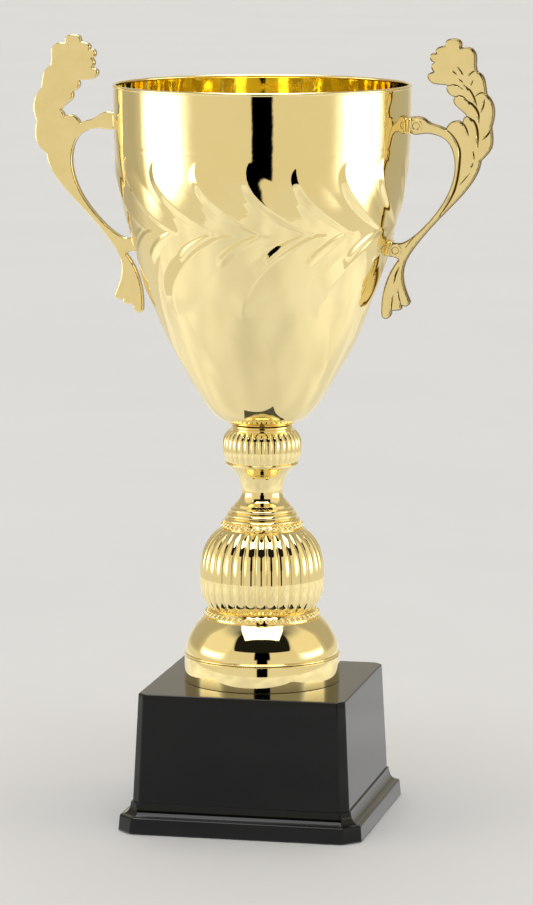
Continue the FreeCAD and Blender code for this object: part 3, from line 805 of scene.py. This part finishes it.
class CupHandleSettings(bpy.types.PropertyGroup):
    """Choices for the handles."""
    mesh_gap: bpy.props.FloatProperty(
        name="Mesh gap", description="Distance between mesh points on a handle's face",
        default=0.5 * MM, subtype="DISTANCE", unit="LENGTH", precision=5)
    crease: bpy.props.FloatProperty(
        name="Crease", description="Depth of the deepest crease between leaves",
        default=1.0 * MM, subtype="DISTANCE", unit="LENGTH", precision=5)


class OBJECT_OT_cup_handles(bpy.types.Operator):
    """Build both leaf-scroll handles from the outline of the frame's handle"""
    bl_idname = "object.cup_handles"
    bl_label = "Handles"

    def execute(self, context):
        paint = gold_casting()
        parts = [handle_plate(context.scene.cup_handles, paint)]
        parts += [boss_ring(x, z, paint) for x, z in BOSSES]
        parts += [lug_pad(z, lean, paint) for z, lean in LUGS]
        right = joined("handle_right_leaves", parts)
        left = bpy.data.objects.new("handle_left_leaves", right.data.copy())
        left.data.transform(Matrix.Rotation(math.pi, 4, "Z"))
        context.scene.collection.objects.link(left)
        belongs(right, "handle_right")
        belongs(left, "handle_left")
        return {"FINISHED"}


# ---- column --------------------------------------------------------------

def spigot(radius, low):
    """The half-section points of the collar that centres the next piece, inwards."""
    return [(radius, low), (radius, low + SPIGOT_HEIGHT), (radius - SPIGOT_WALL, low + SPIGOT_HEIGHT),
            (radius - SPIGOT_WALL, low), (ROD_HOLE, low)]


def socket(radius, low):
    """The half-section points of the room for the spigot below, outwards."""
    return [(radius + SPIGOT_GAP, low + SPIGOT_HEIGHT + SPIGOT_ROOM), (radius + SPIGOT_GAP, low)]


def foot_ring_section():
    """Upright band with a small bead round its top edge."""
    return section((37.2, PLINTH_TOP), [
        ("line", [(36.8, RING_TOP - 1.5), (36.55, RING_TOP - 1.35)]),
        ("curve", [(36.95, RING_TOP - 1.0), (37.1, RING_TOP - 0.6), (36.9, RING_TOP - 0.15),
                   (36.5, RING_TOP)]),
        ("line", spigot(33.4, RING_TOP) + [(ROD_HOLE, RING_TOP - 1.8), (35.0, RING_TOP - 1.8),
                                           (35.0, PLINTH_TOP)])])


def foot_dome_section():
    """Bright dome, a hollow cap."""
    low = RING_TOP
    return section((36.3, low), [
        ("line", [(36.5, low + 0.3)]),
        ("curve", [(35.9, low + 4.3), (33.9, low + 8.9), (31.2, low + 13.1), (27.6, DOME_TOP)]),
        ("line", spigot(22.6, DOME_TOP) + [(ROD_HOLE, DOME_TOP - 2.2), (26.0, DOME_TOP - 2.2)]),
        ("curve", [(31.4, low + 9.0), (33.4, low + 3.5)]),
        ("line", socket(33.4, low))])


def bead_collar_section():
    """Low ring under the large ball."""
    low = DOME_TOP
    return section((26.4, low), [
        ("line", [(26.0, low + 1.3), (26.0, low + 2.5), (25.0, BEADS_TOP)]
         + spigot(20.4, BEADS_TOP) + [(ROD_HOLE, low + 1.8)] + socket(22.6, low))])


def ball_section():
    """Large ball of the column."""
    low = BEADS_TOP
    return section((24.6, low), [
        ("curve", [(27.9, 104.2), (29.4, 111.5), (29.4, 118.0), (28.2, 126.2), (24.9, 133.0),
                   (19.6, BALL_TOP)]),
        ("line", spigot(15.6, BALL_TOP) + [(ROD_HOLE, BALL_TOP - 2.4), (17.0, BALL_TOP - 2.4)]),
        ("curve", [(24.4, 126.0), (26.2, 115.0), (24.6, 106.0), (20.6, low + 2.2)]),
        ("line", socket(20.4, low))], 0.8)


def stepped_collar_section():
    """Three rings, each smaller than the one below."""
    low = BALL_TOP
    return section((18.4, low), [
        ("line", [(18.2, low + 1.6), (17.2, low + 3.0)]),
        ("curve", [(17.9, low + 3.9), (17.2, low + 4.9)]),
        ("line", [(16.0, low + 5.2)]),
        ("curve", [(16.6, low + 6.3), (15.9, low + 7.4)]),
        ("line", [(14.6, low + 7.7)]),
        ("curve", [(15.1, low + 8.8), (14.3, low + 9.9)]),
        ("line", [(13.4, low + 10.3), (12.9, STEPS_TOP)] + spigot(8.6, STEPS_TOP)
         + [(ROD_HOLE, STEPS_TOP - 2.2), (10.8, STEPS_TOP - 2.2), (15.4, low + 2.4)]
         + socket(15.6, low))], 0.35)


def neck_section():
    """Waisted neck with a thin lip."""
    low = STEPS_TOP
    return section((13.1, low), [
        ("curve", [(10.9, low + 2.1), (9.7, low + 5.6), (10.2, low + 9.6), (12.3, low + 14.4),
                   (15.6, low + 17.9)]),
        ("line", [(16.9, NECK_TOP - 1.3)]),
        ("curve", [(17.2, NECK_TOP - 0.7), (16.8, NECK_TOP)]),
        ("line", spigot(12.6, NECK_TOP) + [(ROD_HOLE, NECK_TOP - 2.4), (12.4, NECK_TOP - 2.4)]),
        ("curve", [(10.4, low + 14.4), (8.2, low + 9.6), (7.7, low + 5.6), (8.6, low + 1.9)]),
        ("line", socket(8.6, low))], 0.5)


def knob_section():
    """Small ribbed ball with the ring that the bowl stands on."""
    low = NECK_TOP
    return section((16.6, low), [
        ("curve", [(18.2, low + 3.6), (18.6, low + 7.4), (18.0, low + 12.0), (15.6, KNOB_RIBS_TOP)]),
        ("line", [(13.9, KNOB_RIBS_TOP), (13.9, KNOB_RIBS_TOP + 0.7)]),
        ("curve", [(14.3, KNOB_RIBS_TOP + 1.4), (14.0, KNOB_TOP)]),
        ("line", [(ROD_HOLE, KNOB_TOP), (ROD_HOLE, KNOB_TOP - 2.4), (11.6, KNOB_TOP - 2.4)]),
        ("curve", [(14.4, low + 11.4), (15.0, low + 6.0), (12.9, low + 2.2)]),
        ("line", socket(12.6, low))], 0.6)


def mark_outside(piece, low, high, core):
    """Says which points of a turned piece the ribs may move."""
    mesh = piece.data
    flags = mesh.attributes.new("outside", "FLOAT", "POINT")
    for vertex, flag in zip(mesh.vertices, flags.data):
        radius = math.hypot(vertex.co.x, vertex.co.y) / MM
        z = vertex.co.z / MM
        flag.value = float(low - 0.01 < z < high + 0.01 and radius > core(z))


class CupColumnSettings(bpy.types.PropertyGroup):
    """Choices for the column."""
    rib_count: bpy.props.IntProperty(
        name="Ribs", description="Round ribs on each ball of the column", default=32, min=4)
    rib_depth: bpy.props.FloatProperty(
        name="Rib depth", description="Depth of the grooves on the large ball",
        default=1.1 * MM, subtype="DISTANCE", unit="LENGTH", precision=5)
    small_rib_depth: bpy.props.FloatProperty(
        name="Small rib depth", description="Depth of the grooves on the knob",
        default=0.8 * MM, subtype="DISTANCE", unit="LENGTH", precision=5)
    lower_beads: bpy.props.IntProperty(
        name="Lower beads", description="Beads in the ring under the large ball", default=50, min=4)
    upper_beads: bpy.props.IntProperty(
        name="Upper beads", description="Beads in the ring on the large ball", default=36, min=4)


class OBJECT_OT_cup_turned_pieces(bpy.types.Operator):
    """Build the plain turned mouldings: foot band, foot dome and neck"""
    bl_idname = "object.cup_turned_pieces"
    bl_label = "Turned mouldings"

    def execute(self, context):
        for name, loop, replaced in (("foot_band", foot_ring_section(), "foot_ring"),
                                     ("foot_bell", foot_dome_section(), "foot_dome"),
                                     ("waisted_neck", neck_section(), "neck_spool")):
            piece = lathe(name, softened(loop, 0.25), COLUMN_POINTS, gold_plastic())
            belongs(piece, replaced)
        return {"FINISHED"}


class OBJECT_OT_cup_beaded_rings(bpy.types.Operator):
    """Build the two collars with their rings of beads"""
    bl_idname = "object.cup_beaded_rings"
    bl_label = "Beaded rings"

    def execute(self, context):
        settings = context.scene.cup_column
        tree = bead_tree()
        for name, loop, count, ring, z, replaced in (
                ("beaded_ring", bead_collar_section(), settings.lower_beads, 26.0,
                 DOME_TOP + 1.9, "bead_collar"),
                ("beaded_steps", stepped_collar_section(), settings.upper_beads, 18.2,
                 BALL_TOP + 1.6, "stepped_collar")):
            piece = lathe(name, softened(loop, 0.2), COLUMN_POINTS, gold_plastic())
            with_nodes(piece, tree, {"Beads": count, "Ring radius": ring * MM,
                                     "Bead radius": BEAD_RADIUS * MM, "Height": z * MM,
                                     "Material": gold_plastic()})
            belongs(piece, replaced)
        return {"FINISHED"}


class OBJECT_OT_cup_ribbed_balls(bpy.types.Operator):
    """Build the large ball and the knob with their round ribs"""
    bl_idname = "object.cup_ribbed_balls"
    bl_label = "Ribbed balls"

    def execute(self, context):
        settings = context.scene.cup_column
        tree = rib_tree()
        for name, loop, depth, low, high, core, fine, run_out, replaced in (
                ("ribbed_body", ball_section(), settings.rib_depth, BEADS_TOP, BALL_TOP,
                 lambda z: 27.2 - 0.045 * abs(z - 114) ** 1.7 if 101 < z < 136 else 17.5, 20,
                 3.0, "ribbed_ball"),
                ("ribbed_knob", knob_section(), settings.small_rib_depth, NECK_TOP, KNOB_RIBS_TOP,
                 lambda z: 15.2, 18, 1.5, "knob")):
            piece = lathe(name, softened(loop, 0.2), settings.rib_count * fine, gold_plastic())
            mark_outside(piece, low, high, core)
            with_nodes(piece, tree, {"Ribs": settings.rib_count, "Depth": depth,
                                     "Bottom": low * MM, "Top": high * MM,
                                     "Run-out": run_out * MM, "Material": gold_plastic()})
            belongs(piece, replaced)
        return {"FINISHED"}


# ---- plinth --------------------------------------------------------------

def octagon_row(half, corner, z, radius=0.7, arc=5):
    """A square row with cut corners; each of its eight bends is a short arc."""
    near = half - corner
    bends = [(half, -near), (half, near), (near, half), (-near, half),
             (-half, near), (-half, -near), (-near, -half), (near, -half)]
    row = []
    for i, here in enumerate(bends):
        here = np.array(here)
        back = np.array(bends[i - 1]) - here
        ahead = np.array(bends[(i + 1) % 8]) - here
        cut = min(radius, 0.4 * np.linalg.norm(back), 0.4 * np.linalg.norm(ahead))
        first = here + back / np.linalg.norm(back) * cut
        last = here + ahead / np.linalg.norm(ahead) * cut
        for share in np.linspace(0, 1, arc):
            point = ((1 - share) ** 2 * first + 2 * share * (1 - share) * here
                     + share ** 2 * last)
            row.append((point[0], point[1], z))
    return row


def plinth_rows(settings):
    """Rows of the moulded shell, outside up and inside down."""
    edge = settings.edge_radius / MM
    half_top, half_foot, cove_top, flange_top = 49.4, 51.9, 13.5, 7.6
    flange_corner, wall_corner, top_corner = 7.4, 3.9, 3.2
    cove_low, cove_high, flange_round = 56.7, 52.7, 1.1
    rows = [(58.1, flange_corner, 0.0), (58.3, flange_corner, 0.2),
            (57.8, flange_corner, flange_top - flange_round)]
    rows += [(cove_low + flange_round * math.cos(t), flange_corner,
              flange_top - flange_round + flange_round * math.sin(t))
             for t in np.radians([22, 45, 67, 90])]
    for t in np.radians(np.arange(10, 91, 10)):
        share = math.sin(t)
        rows.append((cove_low + (cove_high - cove_low) * share,
                     flange_corner + (wall_corner - flange_corner) * share,
                     flange_top + (cove_top - flange_top) * (1 - math.cos(t))))
    rows += [(52.55, wall_corner, cove_top + 0.12), (half_foot, wall_corner, cove_top + 0.14),
             (51.87, wall_corner, cove_top + 0.5)]
    slope = (half_top - half_foot) / (PLINTH_TOP - cove_top)
    rows += [(half_foot + slope * (z - cove_top),
              wall_corner - 0.7 * (z - cove_top) / (PLINTH_TOP - cove_top), z)
             for z in (20.0, 40.0, PLINTH_TOP - 3.0, PLINTH_TOP - edge)]
    rows += [(half_top - edge * (1 - math.cos(t)), top_corner, PLINTH_TOP - edge * (1 - math.sin(t)))
             for t in np.radians([22, 45, 67, 90])]
    rows += [(half, min(top_corner, 0.5 * half), PLINTH_TOP) for half in (46.0, 40.0, 20.0, 5.0, ROD_HOLE)]
    under = PLINTH_TOP - 3.4
    rows += [(ROD_HOLE, 1.6, under), (20.0, 3.2, under), (46.3, 3.2, under), (46.4, 3.2, under - 0.2),
             (48.85, 3.9, 3.1), (48.9, 3.9, 3.0), (53.2, 5.5, 3.0), (53.3, 5.5, 2.9), (53.3, 5.5, 0.0)]
    return [octagon_row(half, corner, z) for half, corner, z in rows]


class CupPlinthSettings(bpy.types.PropertyGroup):
    """Choices for the plinth."""
    edge_radius: bpy.props.FloatProperty(
        name="Edge radius", description="Rounding of the plinth's top edge",
        default=0.7 * MM, subtype="DISTANCE", unit="LENGTH", precision=5)
    felt_nap: bpy.props.FloatProperty(
        name="Felt nap", description="Unevenness of the felt's face",
        default=0.12 * MM, subtype="DISTANCE", unit="LENGTH", precision=5)


class OBJECT_OT_cup_plinth(bpy.types.Operator):
    """Build the black moulded plinth"""
    bl_idname = "object.cup_plinth"
    bl_label = "Plinth"

    def execute(self, context):
        rows = plinth_rows(context.scene.cup_plinth)
        piece = mesh_piece("plinth_moulding", *skin(rows), black_gloss())
        piece.modifiers.new("flat faces", "WEIGHTED_NORMAL").keep_sharp = True
        belongs(baked(piece), "plinth")
        return {"FINISHED"}


class OBJECT_OT_cup_felt(bpy.types.Operator):
    """Build the felt on the underside, uneven and soft at its edges"""
    bl_idname = "object.cup_felt"
    bl_label = "Felt"

    def execute(self, context):
        nap = context.scene.cup_plinth.felt_nap / MM
        halves = np.concatenate([np.arange(2.0, 52.0, 1.5), [52.2, 52.7, 52.95]])
        levels = [(half, 0.0) for half in halves] + [(53.0, 0.3), (52.95, 0.9)]
        levels += [(half, 1.0) for half in halves[::-4]]
        rows = []
        for half, z in levels:
            row = []
            for x, y, _ in octagon_row(half, min(5.5, 0.5 * half), z, arc=12):
                rough = 0.5 + 0.5 * noise.noise(Vector((x * 1.7, y * 1.7, 0.3)))
                edge = max(0.0, half - 52.0) * 0.25
                row.append((x, y, z + (nap * rough + edge if z < 0.3 else 0.0)))
            rows.append(row)
        points, faces = skin(rows, closed=False)
        count = len(rows[0])
        faces.append(tuple(range(count)))
        faces.append(tuple(len(points) - count + i for i in range(count)))
        belongs(mesh_piece("felt_sheet", points, faces, felt()), "felt_pad")
        return {"FINISHED"}


class OBJECT_OT_cup_fittings(bpy.types.Operator):
    """Finish the frame's own rod, nuts, washers, screws, ballast and board"""
    bl_idname = "object.cup_fittings"
    bl_label = "Fittings"

    def execute(self, context):
        paints = {"tie_rod": zinc_steel(), "bowl_nut": zinc_steel(), "bowl_washer": zinc_steel(),
                  "base_nut": zinc_steel(), "base_washer": zinc_steel(),
                  "handle_screws": zinc_steel(), "handle_washers": zinc_steel(),
                  "ballast": cast_iron(), "base_board": hardboard()}
        for name, paint in paints.items():
            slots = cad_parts[name].data.materials
            if not slots:
                slots.append(paint)
            for i in range(len(slots)):
                slots[i] = paint
        return {"FINISHED"}


# ---- stage ---------------------------------------------------------------

WALL_TINT = (1.0, 0.92, 0.74)


def toward_viewer(tree, way):
    """How far a place or a direction reaches toward the viewer."""
    return maths(tree, "SUBTRACT", maths(tree, "MULTIPLY", way[0], math.sin(VIEW_ANGLE)),
                 maths(tree, "MULTIPLY", way[1], math.cos(VIEW_ANGLE)))


def light_tent(settings):
    """A world of soft walls, two tall soft boxes, a slot for the viewer and a ceiling panel."""
    world = bpy.data.worlds.new("light tent")
    world.use_nodes = True
    tree = world.node_tree
    tree.nodes.clear()
    way = node(tree, "ShaderNodeSeparateXYZ",
               {0: node(tree, "ShaderNodeTexCoord").outputs["Generated"]}).outputs
    toward = toward_viewer(tree, way)
    right = maths(tree, "ADD", maths(tree, "MULTIPLY", way[0], math.cos(VIEW_ANGLE)),
                  maths(tree, "MULTIPLY", way[1], math.sin(VIEW_ANGLE)))
    # degrees away from the viewer's direction, alike on both sides, and degrees above the table
    around = maths(tree, "MULTIPLY", maths(tree, "ARCTAN2", right, toward), 180 / math.pi)
    aside = maths(tree, "ABSOLUTE", around)
    upward = maths(tree, "MULTIPLY", maths(tree, "ARCSINE", way[2]), 180 / math.pi)
    tone = maths(tree, "ADD",
                 smooth_step(tree, aside, 100, 120, settings.front_walls, settings.curtains),
                 smooth_step(tree, aside, 150, 165, 0.0, settings.back_wall - settings.curtains))
    slot = maths(tree, "MAXIMUM", smooth_step(tree, aside, 7, 9, 1.0, 0.0),
                 maths(tree, "MULTIPLY", smooth_step(tree, aside, 11, 13, 1.0, 0.0),
                       smooth_step(tree, upward, 2, 6)))
    tone = maths(tree, "MULTIPLY", tone, maths(tree, "SUBTRACT", 1.0, slot))
    plain = node(tree, "ShaderNodeVectorMath", {0: WALL_TINT, "Scale": tone},
                 operation="SCALE").outputs[0]
    boxes = maths(tree, "MULTIPLY", maths(tree, "POWER", smooth_step(tree, aside, 45, 75), 3.0),
                  smooth_step(tree, aside, 95, 110, 1.0, 0.0))
    walls = node(tree, "ShaderNodeMix", {0: boxes, 6: plain, 7: (*[settings.soft_boxes] * 3, 1.0)},
                 data_type="RGBA").outputs[2]
    cap = smooth_step(tree, upward, 0, 20, 1.35 * settings.soft_boxes, settings.upper_walls)
    top = node(tree, "ShaderNodeVectorMath", {0: WALL_TINT, "Scale": cap},
               operation="SCALE").outputs[0]
    walls = node(tree, "ShaderNodeVectorMath", {0: walls, 1: top}, operation="MINIMUM").outputs[0]
    dim = smooth_step(tree, aside, 55, 88, 0.012, settings.dim_ceiling)
    high = smooth_step(tree, upward, smooth_step(tree, aside, 45, 60, 29, 42),
                       smooth_step(tree, aside, 45, 60, 31, 66))
    ahead = maths(tree, "DIVIDE", toward, way[2])
    across = maths(tree, "ABSOLUTE", maths(tree, "DIVIDE", right, way[2]))
    across = maths(tree, "SUBTRACT", across, maths(tree, "MULTIPLY", ahead, 0.15))
    panel = maths(tree, "MULTIPLY", smooth_step(tree, ahead, 0.64, 0.70, 1.0, 0.0),
                  smooth_step(tree, across, 0.36, 0.41, 1.0, 0.0))
    panel = maths(tree, "MULTIPLY", panel, smooth_step(tree, upward, 32, 34))
    above = maths(tree, "ADD", dim, maths(tree, "MULTIPLY", panel, settings.ceiling))
    both = node(tree, "ShaderNodeMix", {0: high, 6: walls, 7: above}, data_type="RGBA").outputs[2]
    glow = node(tree, "ShaderNodeBackground", {"Color": both, "Strength": 1.0})
    node(tree, "ShaderNodeOutputWorld", {0: glow.outputs[0]})
    return world


def painted_table_light(name, strength):
    """A white table as shiny pieces see it, a glow with painted light and shade: a little darker near the
    cup and in front.
    """
    made, tree = empty_material(name)
    place = node(tree, "ShaderNodeTexCoord").outputs["Object"]
    way = node(tree, "ShaderNodeSeparateXYZ", {0: place}).outputs
    reach = node(tree, "ShaderNodeVectorMath", {0: place}, operation="LENGTH").outputs["Value"]
    toward = toward_viewer(tree, way)
    facing = maths(tree, "ABSOLUTE", maths(tree, "DIVIDE", toward,
                                           maths(tree, "MAXIMUM", reach, 0.05)))
    cloud = node(tree, "ShaderNodeTexNoise", {"Vector": place, "Scale": 5.0, "Detail": 1.0})
    # painted light brighter to the sides, painted shadow darker near the cup
    level = maths(tree, "MULTIPLY", smooth_step(tree, facing, 0.2, 1.0, 1.2, 1.0),
                  smooth_step(tree, reach, 0.05, 0.45, 0.88, 1.1))
    level = maths(tree, "MULTIPLY", level,
                  smooth_step(tree, cloud.outputs["Fac"], 0.3, 0.7, 0.9, 1.1))
    light = node(tree, "ShaderNodeEmission", {"Color": (1.0, 0.99, 0.97, 1.0),
                                              "Strength": maths(tree, "MULTIPLY", level, strength)})
    node(tree, "ShaderNodeOutputMaterial", {0: light.outputs[0]})
    return made


def wall_foot(name, radius, height, strength):
    """A low round wall that shiny pieces see; it fades out upwards and before the viewer."""
    made, tree = empty_material(name)
    place = node(tree, "ShaderNodeTexCoord").outputs["Object"]
    way = node(tree, "ShaderNodeSeparateXYZ", {0: place}).outputs
    toward = toward_viewer(tree, way)
    fade = maths(tree, "MAXIMUM", smooth_step(tree, way[2], 0.3 * height, height),
                 smooth_step(tree, toward, 0.970 * radius, 0.985 * radius))
    light = node(tree, "ShaderNodeEmission", {"Color": (1.0, 0.95, 0.84, 1.0),
                                              "Strength": strength})
    clear = node(tree, "ShaderNodeBsdfTransparent", {"Color": (1.0, 1.0, 1.0, 1.0)})
    both = node(tree, "ShaderNodeMixShader", {0: fade, 1: light.outputs[0], 2: clear.outputs[0]})
    node(tree, "ShaderNodeOutputMaterial", {0: both.outputs[0]})
    points, faces = skin([circle_row(radius / MM, z, STAGE_POINTS) for z in (-0.2, height / MM)],
                         closed=False)
    return mesh_piece(name, points, faces, made)


def round_sheet(name, radius, z, paint):
    """A flat round sheet that faces up; radius in metres."""
    rows = [circle_row(r / MM, z, STAGE_POINTS) for r in (0.4 * radius, radius)]
    points, faces = skin(rows, closed=False)
    faces.append(tuple(range(STAGE_POINTS)))
    sheet = mesh_piece(name, points, faces, paint)
    if sheet.data.polygons[0].normal.z < 0:
        sheet.data.flip_normals()
    return sheet


class CupStageSettings(bpy.types.PropertyGroup):
    """Choices for the floor, the light and the camera."""
    ceiling: bpy.props.FloatProperty(
        name="Ceiling", description="Brightness of the ceiling panel", default=4.0)
    dim_ceiling: bpy.props.FloatProperty(
        name="Dim ceiling", description="Brightness round the ceiling panel", default=0.32)
    soft_boxes: bpy.props.FloatProperty(
        name="Soft boxes", description="Brightness of the two soft boxes", default=4.0)
    front_walls: bpy.props.FloatProperty(
        name="Front walls", description="Brightness of the walls beside the viewer", default=0.8)
    curtains: bpy.props.FloatProperty(
        name="Curtains", description="Brightness of the walls behind the soft boxes", default=0.5)
    back_wall: bpy.props.FloatProperty(
        name="Back wall", description="Brightness of the wall behind the cup", default=0.7)
    upper_walls: bpy.props.FloatProperty(
        name="Upper walls", description="Brightness of the walls above the soft boxes",
        default=0.95)
    table_glow: bpy.props.FloatProperty(
        name="Table glow", description="Brightness of the table in shiny pieces", default=0.80)
    table_size: bpy.props.FloatProperty(
        name="Table size", description="Radius of the white table in shiny pieces", default=0.66,
        subtype="DISTANCE", unit="LENGTH")
    wall_foot: bpy.props.FloatProperty(
        name="Wall foot", description="Height to which the walls are no brighter than the table",
        default=0.16, subtype="DISTANCE", unit="LENGTH")
    floor_size: bpy.props.FloatProperty(
        name="Floor size", description="Radius of the floor", default=40.0,
        subtype="DISTANCE", unit="LENGTH")
    lens: bpy.props.FloatProperty(
        name="Lens", description="Focal length in millimetres", default=170.33)


class OBJECT_OT_cup_stage(bpy.types.Operator):
    """Set up the pale floor, the light tent and the camera"""
    bl_idname = "object.cup_stage"
    bl_label = "Stage"

    def execute(self, context):
        scene = context.scene
        settings = scene.cup_stage
        paint = material("pale floor", ((0.50, 0.50, 0.505), (0.51, 0.51, 0.515)), (0.9, 0.95),
                         grain=3.0, specular=0.0)
        floor = round_sheet("floor", settings.floor_size, -0.3, paint)
        floor.visible_glossy = False
        # painted reflection: a glowing table that only shiny pieces see
        table = round_sheet("table_glow", settings.table_size, -0.2,
                            painted_table_light("table glow", settings.table_glow))
        wall = wall_foot("wall_foot", settings.table_size, settings.wall_foot, settings.table_glow)
        for sheet in (table, wall):
            sheet.visible_camera = sheet.visible_diffuse = sheet.visible_shadow = False
        scene.world = light_tent(settings)
        camera_data = bpy.data.cameras.new("camera")
        camera_data.lens = settings.lens
        camera_data.shift_x = CAMERA_SHIFT
        camera_data.clip_end = 200
        camera = bpy.data.objects.new("camera", camera_data)
        camera.location = CAMERA_PLACE
        camera.rotation_euler = (CAMERA_TILT, 0, VIEW_ANGLE)
        scene.collection.objects.link(camera)
        scene.camera = camera
        scene.view_settings.view_transform = "Standard"
        scene.cycles.max_bounces = scene.cycles.glossy_bounces = 9
        return {"FINISHED"}


class VIEW3D_PT_cup(bpy.types.Panel):
    """The cup's pieces"""
    bl_label = "Presentation cup"
    bl_space_type = "VIEW_3D"
    bl_region_type = "UI"
    bl_category = "Cup"

    def draw(self, context):
        for operator in OPERATORS:
            self.layout.operator(operator.bl_idname)
        for group in ("cup_bowl", "cup_handles", "cup_column", "cup_plinth", "cup_stage"):
            settings = getattr(context.scene, group)
            box = self.layout.box()
            for name in settings.__annotations__:
                box.prop(settings, name)


SETTINGS = {"cup_bowl": CupBowlSettings, "cup_handles": CupHandleSettings,
            "cup_column": CupColumnSettings, "cup_plinth": CupPlinthSettings,
            "cup_stage": CupStageSettings}
OPERATORS = (OBJECT_OT_cup_bowl, OBJECT_OT_cup_handles, OBJECT_OT_cup_turned_pieces,
             OBJECT_OT_cup_beaded_rings, OBJECT_OT_cup_ribbed_balls, OBJECT_OT_cup_plinth,
             OBJECT_OT_cup_felt, OBJECT_OT_cup_fittings, OBJECT_OT_cup_stage)


def register():
    for name, group in SETTINGS.items():
        bpy.utils.register_class(group)
        setattr(bpy.types.Scene, name, bpy.props.PointerProperty(type=group))
    for cls in OPERATORS + (VIEW3D_PT_cup,):
        bpy.utils.register_class(cls)


def unregister():
    for cls in (VIEW3D_PT_cup,) + OPERATORS[::-1]:
        bpy.utils.unregister_class(cls)
    for name, group in SETTINGS.items():
        delattr(bpy.types.Scene, name)
        bpy.utils.unregister_class(group)


def main():
    """Builds everything."""
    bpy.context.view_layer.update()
    register()
    for operator in OPERATORS:
        getattr(bpy.ops.object, operator.bl_idname.split(".")[1])()


if __name__ == "__main__":
    main()
